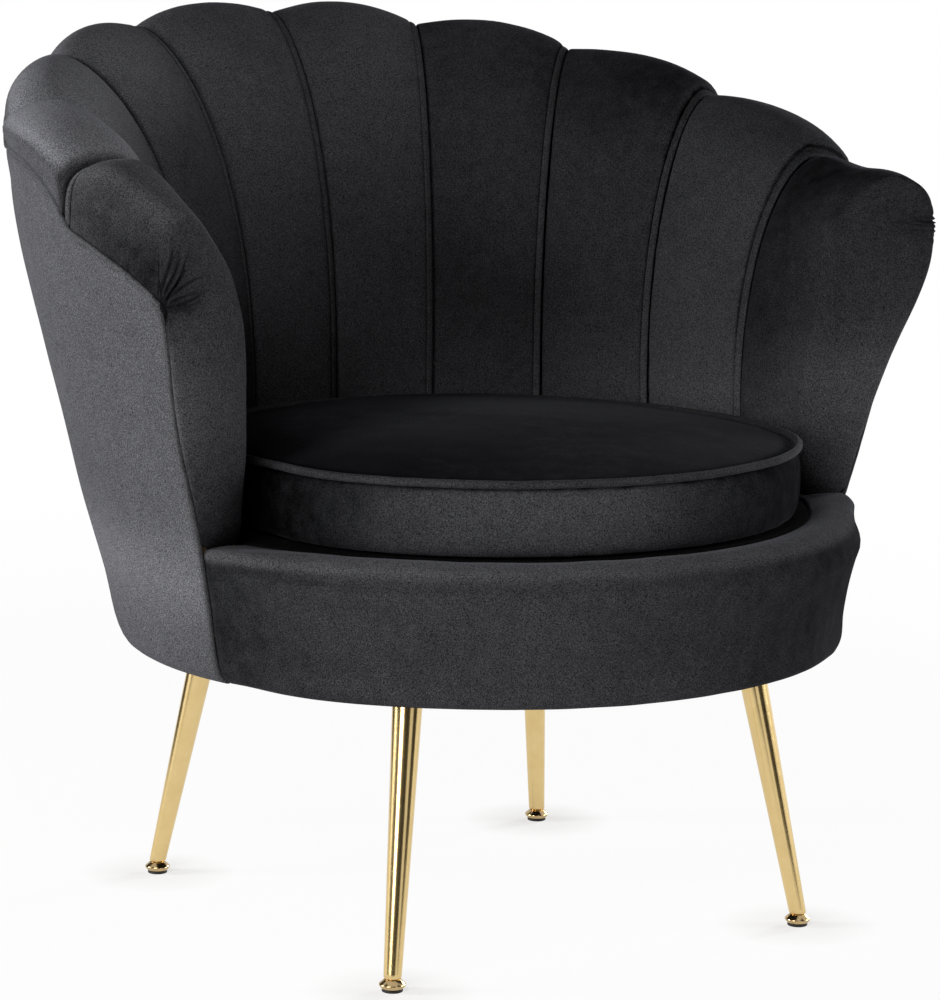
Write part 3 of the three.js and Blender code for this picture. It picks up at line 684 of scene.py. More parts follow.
def row_width(petal, kind, share):
    ends = petal.face(kind, share, np.array([0.02, 0.98]))
    return np.linalg.norm(ends[1] - ends[0]) / 0.96


def base_grid(petal, rows, columns_at):
    return np.array([petal.face(kind, share, columns_at(row_width(petal, kind, share)))
                     for kind, share in rows])


def edge_round(distance, width, depth):
    """A stuffed edge: how far it has fallen at a distance from its seam."""
    inward = np.clip(1 - distance / width, 0, 1)
    return depth * (1 - np.sqrt(1 - inward ** 2))


def crease_left(distance, side):
    return -edge_round(distance, *LEFT_EDGE[side])


def crease_right(distance):
    shoulder = -edge_round(np.maximum(distance - STRIP_WIDTH, 0), *RIGHT_EDGE)
    under = -RIGHT_EDGE[1] - SEAM_DEPTH * (1 - smooth(0, 1.6, distance))
    return np.where(distance < STRIP_WIDTH, under, shoulder)


def toward_sitter(grid):
    """The normals of a grid on the inner wall, pointing at the seat."""
    unit = normals_of(grid)
    ways = np.sign(np.sum(unit * (np.array([0, 0, 600.0]) - grid), -1))
    return unit * np.sign(np.sum(ways[: len(grid) // 2]))


def steps_along(grid, axis):
    """How far each point of a grid lies along its row (1) or its column (0)."""
    steps = np.linalg.norm(np.diff(grid, axis=axis), axis=-1)
    start = np.zeros_like(np.take(grid[..., 0], [0], axis))
    return np.concatenate([start, np.cumsum(steps, axis)], axis)


def make_petal(number):
    petal = Petal(number)
    grid = base_grid(petal, PETAL_ROWS, petal_columns)
    unit = toward_sitter(grid)
    from_left = steps_along(grid, 1) + NEAR_LEFT[0]
    from_right = from_left[:, -1:] - from_left + NEAR_RIGHT[0]
    lift = crease_left(from_left, petal.side) + crease_right(from_right)
    lift += waves(grid, (0.9, 80, (number * 3.1, 0, 0)), (0.3, 24, (0, number * 1.7, 4)))
    pull = np.exp(-np.abs(from_right - 10) / 7) * (from_right > STRIP_WIDTH) + np.exp(-from_left / 8)
    lift += SEAM_PULL * pull * np.sin(steps_along(grid, 0) / 2.1 + 3 * wander(grid, 30, (7, number, 1)))
    column = from_left / (from_left[:, -1:] + NEAR_RIGHT[0])
    past_crest = smooth(0, 12, np.arange(len(grid))[:, None] - np.argmax(ON_CURL))
    lift += np.where(ON_CURL[:, None], CURL_PUFF, 0) * np.sin(np.pi * column) * past_crest
    over = smooth(STRIP_WIDTH - 1, 20, from_right) * (0.3 + 0.7 * column)
    lift += CREST_PUFF.get(number, 0) * NEAR_CREST[:, None] * over
    surface = grid + unit * lift[..., None]
    hidden = np.array(petal.back(petal_columns(row_width(petal, *PETAL_ROWS[-1]))))
    loops = np.concatenate([surface, hidden], 0).transpose(1, 0, 2)
    obj = piece(f"petal_pad_{number:02d}", *swept(as_sewn(loops)), VELVET)
    co = co_of(obj)
    angle, radius = angle_of(co), radius_of(co)
    rise = np.clip((co[:, 2] - DECK) / (seam_top(petal.seam + 0.5) - DECK), 0, 1)
    left, right = petal.edges(rise)
    # Painted shade along the creases at both seams, with the painted light and shade of the crests and the
    # foot
    wide = CREASE_SHADE_WIDTH[petal.side]
    painted_crease_shade = (CREASE_SHADE[0] * bell((right - angle) * radius - STRIP_WIDTH, wide)
              + CREASE_SHADE[1] * bell((angle - left) * radius, wide))
    paint_nap_and_shade(obj, wall_light_and_shade(co, mesh_normals(obj)) + PETAL_NAP[number] - painted_crease_shade)
    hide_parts(f"petal_{number:02d}")


# A tuck's section: distance from the seam and height over the wall
STRIP_SECTION = [(6.5, -2.4), (6.5, -1.3), (6.15, -0.55), (5.5, -0.1), (4.2, 0.15), (2.6, 0.15),
                 (1.4, -0.1), (0.7, -0.5), (0.4, -1.3), (0.4, -2.4)]
STRIP_COLUMNS = np.linspace(8, 0.3, 9)


def make_strip(number):
    """The flat tuck sewn down along the seam to the right of a petal."""
    distances, heights = np.array(STRIP_SECTION).T
    grid = base_grid(Petal(number), PETAL_ROWS, lambda width: 1 - STRIP_COLUMNS / width)
    unit = toward_sitter(grid)
    loops = []
    for points, ups in zip(grid, unit):
        spots = sample(-distances, -STRIP_COLUMNS, points)
        lifts = sample(-distances, -STRIP_COLUMNS, ups)
        loops.append(spots + lifts * heights[:, None])
    loops = np.array(loops)
    ripple = 0.22 * wander(loops, 9, (number, 2, 5))
    loops += unit[:, 4:5] * ripple[..., None]
    obj = piece(f"seam_tuck_{number}", *swept(as_sewn(loops)), VELVET_CORD)
    # Painted light and shade on the tuck, as on the petals' crests and foot
    paint_nap_and_shade(obj, wall_light_and_shade(co_of(obj), mesh_normals(obj)))


# Arms: the last petal and the roll that closes the arm's front are one stuffed form

ARM_FOOT = [0, 0.25, 0.5, 0.75]
TIP_SHARE = (TIP_WELT - FLARE) / (TIP_RIDGE - FLARE)
ARM_LOW = np.linspace(0, TIP_SHARE, 15)
ARM_HIGH = TIP_SHARE + (1 - TIP_SHARE) * (1 - (1 - np.linspace(0, 1, 13)) ** 1.8)[1:]
ARM_SHARES = np.concatenate([ARM_LOW, ARM_HIGH])
TIP_CREST = crest_radius(5.0)
TIP_RIM = cover_radius(TIP_WELT)
ROLL_BOTTOM = BAND_TOP + GAP
ROLL_TURNS = np.linspace(0, np.pi / 2, 13)
ROLL_SHARE = 0.45
ROLL_PUFF = 1.25
ROLL_START = 24
NOSE_PUFF = 9
NOSE_LOW, NOSE_HIGH = (385, 440), (570, 630)
FOOT_TUCK = 5
FOOT_TUCK_HEIGHTS = (365, 440)
ARM_DROP = 2.5
EVEN_ROUNDS = 10

# Rounds of softening before and after the mesh is subdivided, and how far each moves the points
ARM_SOFT = {"left": (40, 60), "right": (6, 24)}
SOFTEN_RATE = 0.7
SOFT_REACH = (26, 72)
HELD_REACH = (2, 14)
FINE_REACH = 48


def resample(rows, count):
    rows = np.array(rows)
    spots = np.concatenate([[0], np.cumsum(np.linalg.norm(np.diff(rows, axis=0), axis=-1).mean(1))])
    wanted = np.linspace(0, spots[-1], count)
    return np.stack([sample(wanted, spots, rows[:, j]) for j in range(rows.shape[1])], 1)


def roll_columns(inside, side):
    """The roll's columns from the inner face and from the cover, at the heights of the face's rows."""
    front_in, before = inside[:, -1], inside[:, -3]
    heights = front_in[:, 2]
    inner = radius_of(front_in)
    up = np.clip((heights - TIP_WELT) / (TIP_RIDGE - TIP_WELT), 0, 1)
    over_tip = TIP_CREST + (TIP_RIM - TIP_CREST) * np.sqrt(1 - up ** 2)
    outer = np.where(heights < TIP_WELT, cover_radius(heights), over_tip)
    middle, half = (inner + outer) / 2, np.maximum((outer - inner) / 2, 0)
    lift = np.clip((heights - ROLL_BOTTOM) / (TIP_RIDGE - ROLL_BOTTOM), 0, 1)
    run = np.linalg.norm((front_in - before)[:, :2], axis=1)
    slope = (inner - radius_of(before)) / np.maximum(run, 1)
    full_nose = smooth(*NOSE_LOW, heights) * (1 - smooth(*NOSE_HIGH, heights))
    low = 1 - smooth(*FOOT_TUCK_HEIGHTS, heights)
    shut = np.sqrt(1 - (1 - smooth(0, 1, (heights - ROLL_BOTTOM) / ROLL_START)) ** 2)
    roll_in, roll_out = [], []
    for turn in ROLL_TURNS:
        at_nose = turn == np.pi / 2
        bulge = math.sin(2 * turn)
        ahead = ROLL_SHARE * half * math.sin(turn) * shut
        across = 0 if at_nose else half * math.cos(turn)
        follow = 0 if at_nose else slope * ahead * math.exp(-(turn / 0.6) ** 2)
        radius_in = middle - (across + NOSE_PUFF * full_nose * bulge) + follow
        across = 0 if at_nose else half * (math.cos(turn) + ROLL_PUFF * lift ** 2 * bulge)
        radius_out = middle + across - FOOT_TUCK * (side > 0) * low * bulge
        angle = side * (FRONT + ahead / middle)
        roll_in.append(place(radius_in, angle, heights))
        roll_out.append(place(radius_out, angle, heights))
    return np.array(roll_in), np.array(roll_out)


def even_out(ring, seam_count, returns):
    """Evens the bends of a ring of points, which stays put at its sewn ends."""
    hold = np.ones(len(ring))
    hold[:seam_count] = 0
    if returns:
        hold[-seam_count:] = 0
    else:
        hold[-3:] = 0
        hold[-4] = 0.5
    hold[seam_count] = 0.5
    for _ in range(EVEN_ROUNDS):
        mean = ring.copy()
        mean[1:-1] = (ring[:-2] + 2 * ring[1:-1] + ring[2:]) / 4
        ring += (mean - ring) * hold[:, None]


def arm_loops(petal):
    """Closed loops up the arm's inside and down its outside, from the sewn seam to the nose."""
    side = petal.side
    inner_rows = [("foot", s) for s in ARM_FOOT] + [("face", s) for s in ARM_SHARES]
    above = (ARM_HIGH - TIP_SHARE) / (1 - TIP_SHARE)
    curl_rows = [("curl", float(s)) for s in above[::-1][1:]] + [("curl", 0.0)]
    seam_side = NEAR_LEFT if side > 0 else NEAR_RIGHT

    def columns_at(width):
        near = np.array(seam_side) / width
        columns = np.concatenate([near, np.linspace(near[-1], 1, 9)[1:]])
        return columns if side > 0 else 1 - columns

    inside = base_grid(petal, inner_rows, columns_at)
    curl = base_grid(petal, curl_rows, columns_at)
    count_in, columns = inside.shape[:2]
    count_curl = len(curl)
    hidden_columns = columns_at(row_width(petal, *curl_rows[-1]))
    hidden = resample(petal.back(hidden_columns), count_in - 1 - count_curl)
    roll_in, roll_out = roll_columns(inside, side)

    # Rings at one height share: inner face, roll, nose, back along the outside and the curl
    rings = []
    for i in range(count_in):
        mirror = count_in - 1 - i
        ring = [*inside[i], *roll_in[1:, i], *roll_out[::-1, i][1:]]
        if 0 < mirror <= count_curl:
            ring += [*curl[mirror - 1][::-1][1:]]
        elif mirror == 0:
            ring += [*inside[i][::-1][1:]]
        ring = np.array(ring)
        even_out(ring, len(seam_side), len(ring) > columns + 2 * len(ROLL_TURNS))
        rings.append(ring)
    nose = columns - 1 + len(ROLL_TURNS) - 1

    def loop_at(column, with_back):
        points = [ring[column] for ring in rings]
        for i in range(count_in - 2, -1, -1):
            mirror = count_in - 1 - i
            ring = rings[i]
            if mirror <= count_curl and column < columns:
                points.append(ring[len(ring) - 1 - column])
            elif with_back:
                points.append(hidden[mirror - count_curl - 1, column])
            else:
                points.append(ring[2 * nose - column])
        return points

    loops = [loop_at(c, True) for c in range(columns)]
    loops = np.array(loops + [loop_at(c, False) for c in range(columns - 1, nose + 1)])

    # The arm's front comes down on to the drum's shoulder
    near_front = smooth(FRONT - 0.05, FRONT, np.abs(angle_of(loops)))
    loops[..., 2] -= ARM_DROP * near_front * (1 - smooth(DECK, DECK + 30, loops[..., 2]))

    # The stuffed edge beside the seam
    unit = normals_of(loops)
    distance = np.linalg.norm(loops - loops[:1], axis=-1) + seam_side[0]
    fall = crease_left(distance, side) if side > 0 else crease_right(distance)
    fall[len(seam_side) + 1:] = 0
    fall[:, count_in + count_curl:] = 0
    centre = loops.mean(1, keepdims=True)
    flip = np.sign(np.sum(unit[:, :count_in] * (centre - loops[:, :count_in]), -1))
    return loops - unit * np.sign(np.sum(flip)) * fall[..., None]


def make_arm(name, number):
    petal = Petal(number)
    side = petal.side
    points, faces = swept(arm_loops(petal), folded=True)
    points, faces = weld(points, faces)
    obj = piece(f"arm_pad_{name}", points, faces, VELVET, joined=False)
    corner = place(TIP_RIM, side * FRONT, TIP_WELT)
    turns = np.linspace(0, np.pi / 2, 30)
    ridge = place(TIP_CREST + (TIP_RIM - TIP_CREST) * np.cos(turns), side * FRONT,
                  TIP_WELT + (TIP_RIDGE - TIP_WELT) * np.sin(turns))
    hem_turns = side * np.linspace(FRONT - 0.3, FRONT, 40)
    hem_heights = welt_height(hem_turns)
    post_heights = np.linspace(TIP_WELT - 150, TIP_WELT, 50)
    edge = np.concatenate([place(cover_radius(hem_heights), hem_turns, hem_heights),
                           place(cover_radius(post_heights), side * FRONT, post_heights)])
    before, after = ARM_SOFT[name]
    soften(obj, ridge, edge, before)
    round_over(obj, 2)
    soften(obj, ridge, edge, after)
    refine(obj, corner, FINE_REACH)
    gather(obj, corner, place(1, side * (FRONT + np.pi / 2), 0), side)
    set_co(obj, as_sewn(co_of(obj)))
    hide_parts(f"petal_{number:02d}", f"arm_roll_{name}")


def soften(obj, ridge, edge, rounds):
    """Rounds the stuffing over along a ridge, and holds it at the sewn edge."""
    co = co_of(obj)
    pairs = np.empty(len(obj.data.edges) * 2, int)
    obj.data.edges.foreach_get("vertices", pairs)
    a, b = pairs.reshape(-1, 2).T
    count = np.bincount(a, minlength=len(co)) + np.bincount(b, minlength=len(co))
    free = (1 - smooth(*SOFT_REACH, nearest(co, ridge))) * smooth(*HELD_REACH, nearest(co, edge))
    hold = free * SOFTEN_RATE
    for _ in range(rounds):
        total = np.zeros_like(co)
        for axis in range(3):
            total[:, axis] = np.bincount(a, co[b, axis], len(co)) + np.bincount(b, co[a, axis], len(co))
        co += (total / np.maximum(count, 1)[:, None] - co) * hold[:, None]
    set_co(obj, co)


def refine(obj, corner, reach):
    """Finer faces within reach of a point."""
    work = bmesh.new()
    work.from_mesh(obj.data)
    spot = Vector(corner * MM) + Vector(AXIS_SHIFT)
    edges = [e for e in work.edges if any((v.co - spot).length < reach * MM for v in e.verts)]
    bmesh.ops.subdivide_edges(work, edges=edges, cuts=1, use_grid_fill=True, smooth=0)
    work.to_mesh(obj.data)
    work.free()
    shade_smooth(obj.data)


# Pleats gathered at the arm's outer corner: direction in degrees from straight ahead, where each
# ends, and its depth
PLEATS = [(2, 34, 1.2), (14, 42, 1.5), (26, 52, 1.7), (37, 44, 1.5), (48, 58, 1.8), (59, 50, 1.6),
          (70, 62, 1.7), (82, 58, 1.6), (94, 62, 1.5), (107, 50, 1.2)]
PLEAT_STRENGTH = {-1: 1, 1: 0.6}
PLEAT_RIDGE = 2.2
CORNER_DEPTH = 4.5
FLANK_DEPTH = 2

# Painted shade in the gathered corner: its least tone, and the pull of the hollow, the corner and the
# pleats' lines
SHADE_LEAST = 0.13
HOLLOW_SHADE, CORNER_SHADE, PLEAT_LINE_SHADE = 1.1, 0.5, 1.1
# Painted shade on the flank above the welt, and how much of the corner's painted shade each arm takes
FLANK_SHADE = 1.2
GATHER_SHADE = {-1: 1, 1: 0.25}


def gather(obj, corner, forward, side):
    """Draws the arm's cover in at its outer corner, and paints shade into the gathered corner, its pleats,
    the flank above the welt and the arm's bottom, and light on the arm's front.
    """
    co = co_of(obj)
    unit = mesh_normals(obj)
    away = co - corner
    reach = np.linalg.norm(away, axis=1)
    level = radius_of(away) * np.where(away @ forward >= -2, 1, -1)
    direction = np.degrees(np.arctan2(away[:, 2], level))
    lift = np.zeros(len(co))
    pleat_shade = np.zeros(len(co))
    for start, end, depth in PLEATS:
        bend = start - 7 * np.sin(reach / 16 + start) - 0.25 * reach
        offset = np.radians(direction - bend) * reach
        window = smooth(2, 9, reach) * (1 - smooth(0.4 * end, end, reach)) * PLEAT_STRENGTH[side]
        lift += depth * window * (0.5 * bell(np.abs(offset) - PLEAT_RIDGE, 1.2) - bell(offset, 1.1))
        pleat_shade += window * bell(offset, 1.3)
    lift -= CORNER_DEPTH * bell(reach, 11)
    turn = np.abs(angle_of(co))
    above = co[:, 2] - welt_height(turn)
    outer = radius_of(co) > CREST_RADIUS - 8
    flank = outer * bell(above - 17, 13) * smooth(FRONT - 0.33, FRONT - 0.08, turn)
    shade = outer * bell(above, 42) * smooth(FRONT - 0.3, FRONT - 0.05, turn)
    behind = 1 - smooth(FRONT - 0.01, FRONT + 0.03, turn)
    lift -= FLANK_DEPTH * flank * behind * smooth(2, 10, above)
    lift += waves(co, (0.7, 70, (3, 8, 1)), (0.22, 20, (1, 2, 9)))
    set_co(obj, co + unit * lift[:, None])
    # Painted light and shade of the crests and the foot, plus each arm's own tone
    nap_and_shade = wall_light_and_shade(co, mesh_normals(obj)) + ARM_NAP[side]
    # Painted highlight on the arm's front, most at mid height
    front = smooth(FRONT - 0.16, FRONT + 0.03, turn)
    nap_and_shade += front * (0.2 + 0.5 * bell(co[:, 2] - 465, 50)) * smooth(400, 480, co[:, 2])
    # Painted shade in the hollow, the corner and the pleats' lines, and on the flank above the welt
    hollow = np.linalg.norm(away - np.array([0, 0, 20]) + 8 * forward, axis=1)
    gathered = (HOLLOW_SHADE * bell(hollow, 30) + CORNER_SHADE * bell(reach, 16)
                + PLEAT_LINE_SHADE * np.clip(pleat_shade, 0, 1))
    dark = FLANK_SHADE * np.maximum(flank, shade) * behind + gathered * GATHER_SHADE[side]
    nap_and_shade = (1 + nap_and_shade) * (SHADE_LEAST + (1 - SHADE_LEAST) * np.exp(-dark)) - 1
    # Painted shade at the arm's bottom, where it meets the drum
    paint_nap_and_shade(obj, nap_and_shade - 0.45 * (1 - smooth(DECK, DECK + 60, co[:, 2])))


# The outer cover, its welts and the drum's front band

COVER_COLUMNS = 230
COVER_ROWS = 44
COVER_THICKNESS = 3.4
HEM_PULL = 2.2
# Painted light on the outer cover: how much paler it is all over, and how much more in a band round its
# waist
COVER_LIGHT = 0.72
WAIST_LIGHT = 0.85


def make_cover():
    stop = FRONT - COVER_DROP / cover_radius(BASE)
    angles = np.linspace(-stop, stop, COVER_COLUMNS)
    tops = welt_height(angles) - COVER_DROP
    shares = np.concatenate([[0, 0.004, 0.01, 0.02, 0.035], np.linspace(0.055, 1, COVER_ROWS)])
    loops = []
    for angle, top in zip(angles, tops):
        heights = BASE + (top - BASE) * shares
        radius = cover_radius(heights)
        outside = place(radius, angle, heights)
        inside = place(radius - COVER_THICKNESS, angle, heights)
        loops.append(np.concatenate([outside, inside[::-1]]))
    loops = np.array(loops)
    out = loops * [1, 1, 0]
    out /= np.linalg.norm(out, axis=-1, keepdims=True)
    height = loops[..., 2]
    below = tops[:, None] - height
    drape = waves(loops, (0.9, 150, (5, 5, 1)), (0.25, 35, (2, 9, 4)))
    pleats = np.sin(angles[:, None] * SHELL_RADIUS / 4.2 + 4 * wander(loops, 60, (1, 1, 6)))
    pulls = 0.5 * np.exp(-below / 22) * pleats
    roll_in = -HEM_PULL * np.exp(-below / 2.2) - 3.0 * np.exp(-(height - BASE) / 2.5)
    tight = -3 * smooth(360, 450, height) * (1 - smooth(640, 700, height))
    lift = (drape + pulls) * smooth(0, 14, height - BASE) + roll_in + tight * smooth(0, 30, below)
    obj = piece("shell_cover", *swept(as_sewn(loops + out * lift[..., None])), VELVET)
    # Painted light: the cover paler all over, most round its waist
    paint_nap_and_shade(obj, COVER_LIGHT + WAIST_LIGHT * bell(co_of(obj)[:, 2] - 330, 38))
    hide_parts("outer_cover")


def make_welts():
    angles = np.linspace(-FRONT, FRONT, 520)
    heights = welt_height(angles) - CORD_DROP
    heights[2:-2] = np.convolve(heights, np.ones(5) / 5, "valid")
    path = place(cover_radius(heights) + 0.3, angles, heights)
    path[:, 2] += 0.35 * wander(path, 14, (3, 0, 0))
    obj = piece("scallop_cord", *swept(tube(as_sewn(path), CORD_RADIUS, 10)), VELVET_CORD)
    paint_nap_and_shade(obj, np.full(len(obj.data.vertices), 0.3))
    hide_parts("scallop_welt")
    turn = round_angles(12)
    ring = np.stack([np.cos(turn), np.sin(turn), 0 * turn], -1) * CORD_RADIUS
    for name, side in (("left", -1), ("right", 1)):
        heights = np.linspace(BASE + 0.6, TIP_WELT - CORD_DROP, 90)
        radius = cover_radius(heights) + 0.2
        radius[:4] -= np.array([3.5, 1.8, 0.8, 0.2])
        path = place(radius, side * (FRONT - CORD_DROP / radius), heights)
        path[:, 1] += 0.35 * wander(path, 14, (side, 0, 0))
        obj = piece(f"arm_cord_{name}", *swept(as_sewn(path)[:, None] + ring[None]), VELVET_CORD)
        paint_nap_and_shade(obj, np.full(len(obj.data.vertices), 0.1))
        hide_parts(f"arm_welt_{name}")


BAND_COLUMNS = 190
BAND_INSIDE = [(290, 352), (290, 330), (283, 329.6), (283, 266), (294, 265.6), (294, BASE)]
BAND_LIP = [0.3, 0.2, -0.1, -0.8, -1.8, -3]
# Painted shade on the front band all over, and the angle round the axis where it is painted paler, as if
# lit
BAND_SHADE = -0.78
BAND_LIGHT = np.radians(180 + 22)


def make_band():
    """The drum's padded front, with a soft lip over its top edge and square ends under the arms."""
    start = FRONT + GAP / SEAT_RADIUS
    angles = np.linspace(start, 2 * np.pi - start, BAND_COLUMNS)
    ends = np.minimum(angles - start, 2 * np.pi - start - angles) * DRUM_RADIUS
    shares = np.concatenate([np.linspace(0, 0.12, 7), np.linspace(0.16, 0.8, 17), np.linspace(0.83, 1, 15)])
    xs, ys = zip(*BAND_SHARES)
    heights = BASE + (BAND_TOP - BASE) * shares
    free = DRUM_RADIUS - DRUM_ROUND * curve_through(xs, ys, shares)
    square = cover_radius(heights) + 0.6 - 5 * np.clip((heights - BAND_TOP + 7) / 7, 0, 1) ** 2
    inner_r, inner_z = np.array(BAND_INSIDE).T
    loops = []
    for angle, end in zip(angles, ends):
        radius = free + (square - free) * (1 - smooth(18, 105, end))
        outside = place(radius, angle, heights)
        top = place(np.linspace(radius[-1] - 3, 290.5, 6), angle, BAND_TOP + np.array(BAND_LIP))
        loops.append(np.concatenate([outside, top, place(inner_r, angle, inner_z)]))
    loops = np.array(loops)
    unit = normals_of(loops)
    if np.sum(unit * (loops - loops.mean(1, keepdims=True))) < 0:
        unit = -unit
    height = loops[..., 2]
    end = ends[:, None] + 0 * height
    left = bell(2 * np.pi - start - angles[:, None], 0.75)
    shown = np.zeros(loops.shape[:2])
    shown[:, :len(heights) + 3] = 1
    shown[:, len(heights) + 3: len(heights) + 5] = 0.4
    wave = waves(loops, (0.8, 120, (4, 1, 1)), (0.3, 30, (8, 3, 1)))
    sway = 3 * wander(loops * [1, 1, 0], 70, (2, 2, 2))
    lip = bell(height - 355, 5)
    fold = bell(height - 345 + sway, 3.4)
    beyond = left * smooth(10, 60, end)
    wave += lip * (wander(loops, 26, (9, 1, 3)) + 1.6 * beyond) - fold * (0.7 + 2.6 * beyond)
    wave -= edge_round(end, 3, 2) + 2.2 * np.exp(-(height - BASE) / 2.5)
    obj = piece("drum_front", *swept(as_sewn(loops + unit * (wave * shown)[..., None])), VELVET)
    co = co_of(obj)
    # Painted light: paler where the band faces the light, a painted highlight along the lip, and paler near
    # the foot
    facing = np.cos(angle_of(co) - BAND_LIGHT)
    nap_and_shade = BAND_SHADE + 0.9 * np.clip(facing, 0, 1) ** 4 + 1.0 * smooth(346, 356, co[:, 2])
    paint_nap_and_shade(obj, nap_and_shade + 0.1 * (1 - smooth(BASE, BASE + 50, co[:, 2])))
    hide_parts("front_band")


# Seat cushion

CUSHION_COLUMNS = 96
CUSHION_BOTTOM = DECK + 1
CUSHION_TOP = 420
CUSHION_CROWN = 22.1
CUSHION_CORD = 3.5
CUSHION_CORD_INSET = 4.7
CUSHION_FRONT = [(0.592, 0.949), (0.667, 0.987), (0.778, 1), (1, 1)]
CUSHION_OUTLINE = ([(a, float(seat_radius(float(i))) - PETAL_BULGE - 2) for i, a in enumerate(SEAMS[:-1])]
                   + [(t * np.pi, s * 287) for t, s in CUSHION_FRONT])

# The boxing from its bottom seam up: how far in it stands, and at what height
BOXING = [(8, 359.6), (5.5, 362), (3.8, 368), (2.6, 379), (2.2, 389), (2.8, 400), (4.2, 410), (5.6, 415),
          (6.8, 419)]

# The cover's swelling: cloth pressure, and how far it may move on top and elsewhere
PRESSURE = 4
SWELL_TOP, SWELL_SIDE = 9, 3.5
SWELL_STEPS = 20

# Painted shade and light: how dark the cushion's top and boxing are painted, and how much paler the boxing
# is painted where the light falls
SEAT_TOP_SHADE, BOXING_SHADE, BOXING_LIGHT_GAIN = -0.94, -0.95, 1.55
CUSHION_LIGHT = np.radians(180 + 19)
PIPING_PULL = 2.2


def cushion_edge(angle):
    signed = np.arctan2(np.sin(angle), np.cos(angle))
    xs, ys = zip(*CUSHION_OUTLINE)
    slack = 11 * bell(np.degrees(signed) + 100, 32)
    return curve_through(xs, ys, np.abs(signed)) - slack


def make_cushion():
    angles = round_angles(CUSHION_COLUMNS)
    edge = cushion_edge(angles)
    rows = [place((edge - 6) * share, angles, CUSHION_BOTTOM) for share in (0.0, 0.25, 0.5, 0.75, 0.93)]
    rows += [place(edge - inset, angles, height) for inset, height in BOXING]
    for share in (0.985, 0.96, 0.92, 0.86, 0.78, 0.68, 0.56, 0.42, 0.28, 0.14, 0.0):
        rows.append(place((edge - 7) * share, angles, CUSHION_TOP - 1 + CUSHION_CROWN * (1 - share ** 3.2)))
    rows = np.array(rows)
    faces = grid_faces(len(rows), CUSHION_COLUMNS, False, True)
    obj = piece("cushion_cover", rows.reshape(-1, 3), faces, VELVET, "seat_cushion")
    swell(obj)
    finish_cushion(obj)
    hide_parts("cushion_core", "cushion_top", "cushion_boxing", "cushion_bottom")
    path_angles = round_angles(360)
    path = place(cushion_edge(path_angles) - CUSHION_CORD_INSET, path_angles, CUSHION_TOP)
    path[:, 2] += waves(path, (0.5, 60, (4, 4, 4)), (0.2, 10, (1, 4, 4)))
    points, faces = swept(tube(path, CUSHION_CORD, 12, closed=True), closed=True)
    cord = piece("cushion_cord", points, faces, VELVET_CORD, "seat_cushion")
    paint_nap_and_shade(cord, np.full(len(cord.data.vertices), -0.1))
    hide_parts("cushion_piping")


def swell(obj):
    """Blows the cushion's cover up over its filling, held along its piping and its underside."""
    work = obj.copy()
    work.data = obj.data.copy()
    work.parent = None
    bpy.context.scene.collection.objects.link(work)
    remesh = work.modifiers.new("remesh", "REMESH")
    remesh.mode = "VOXEL"
    remesh.voxel_size = 0.006
    settle(work)
    start = co_of(work)
    group = work.vertex_groups.new(name="held")
    rim = (cushion_edge(angle_of(start)) - radius_of(start) < 13) & (np.abs(start[:, 2] - CUSHION_TOP) < 5)
    foot = start[:, 2] < DECK + 7
    group.add([int(i) for i in np.flatnonzero(rim | foot)], 1, "REPLACE")
    cloth = work.modifiers.new("cloth", "CLOTH")
    cloth.settings.use_pressure = True
    cloth.settings.uniform_pressure_force = PRESSURE
    cloth.settings.vertex_group_mass = "held"
    cloth.settings.effector_weights.gravity = 0
    cloth.settings.quality = 6
    scene = bpy.context.scene
    for step in range(1, SWELL_STEPS + 1):
        scene.frame_set(step)
    done = work.evaluated_get(bpy.context.evaluated_depsgraph_get())
    move = points_of(done.to_mesh()) - start
    done.to_mesh_clear()
    scene.frame_set(1)
    work.modifiers.clear()
    size = np.linalg.norm(move, axis=1, keepdims=True)
    most = np.where(start[:, 2:3] > CUSHION_TOP + 2, SWELL_TOP, SWELL_SIDE)
    set_co(work, start + move * np.minimum(1, most / np.maximum(size, 1e-6)))
    round_over(work, 1)
    mesh = work.data
    mesh.materials.clear()
    mesh.materials.append(VELVET)
    obj.data = mesh
    bpy.data.objects.remove(work)


def finish_cushion(obj):
    """Draws the panels in at the piping, lets the cloth lie a little unevenly, and paints shade on it, with
    painted light on the boxing where it faces the light.
    """
    co = co_of(obj)
    unit = mesh_normals(obj)
    near = np.hypot(cushion_edge(angle_of(co)) - CUSHION_CORD_INSET - radius_of(co), co[:, 2] - CUSHION_TOP)
    lift = -PIPING_PULL * bell(np.maximum(near - 4, 0), 5)
    lift += waves(co, (0.9, 90, (6, 1, 2)), (0.3, 28, (3, 1, 8))) * (co[:, 2] > DECK + 6)
    lift *= smooth(2.5, 7.5, near)
    set_co(obj, co + unit * lift[:, None])
    # Painted shade on the top and the boxing, and painted light on the boxing where it faces the light
    facing = np.cos(angle_of(co) - CUSHION_LIGHT)
    side = 1 - smooth(0.35, 0.7, unit[:, 2])
    paint_nap_and_shade(obj, side * (BOXING_SHADE + BOXING_LIGHT_GAIN * np.clip(facing, 0, 1) ** 6) + SEAT_TOP_SHADE * (1 - side))


# Deck pad, underside cloth and webbing

TURN = round_angles(96)


def disc_rows(radius, shares, low, high, crown):
    """Rows of a round pad, from the middle of its crowned top round to the middle of its bottom."""
    rows = [place(radius * share, TURN, high + crown * (1 - share ** 2)) for share in (0, *shares)]
    rows.append(place(radius, TURN, (low + high) / 2))
    rows += [place(radius * share, TURN, low) for share in (*shares[::-1], 0)]
    return np.array(rows)


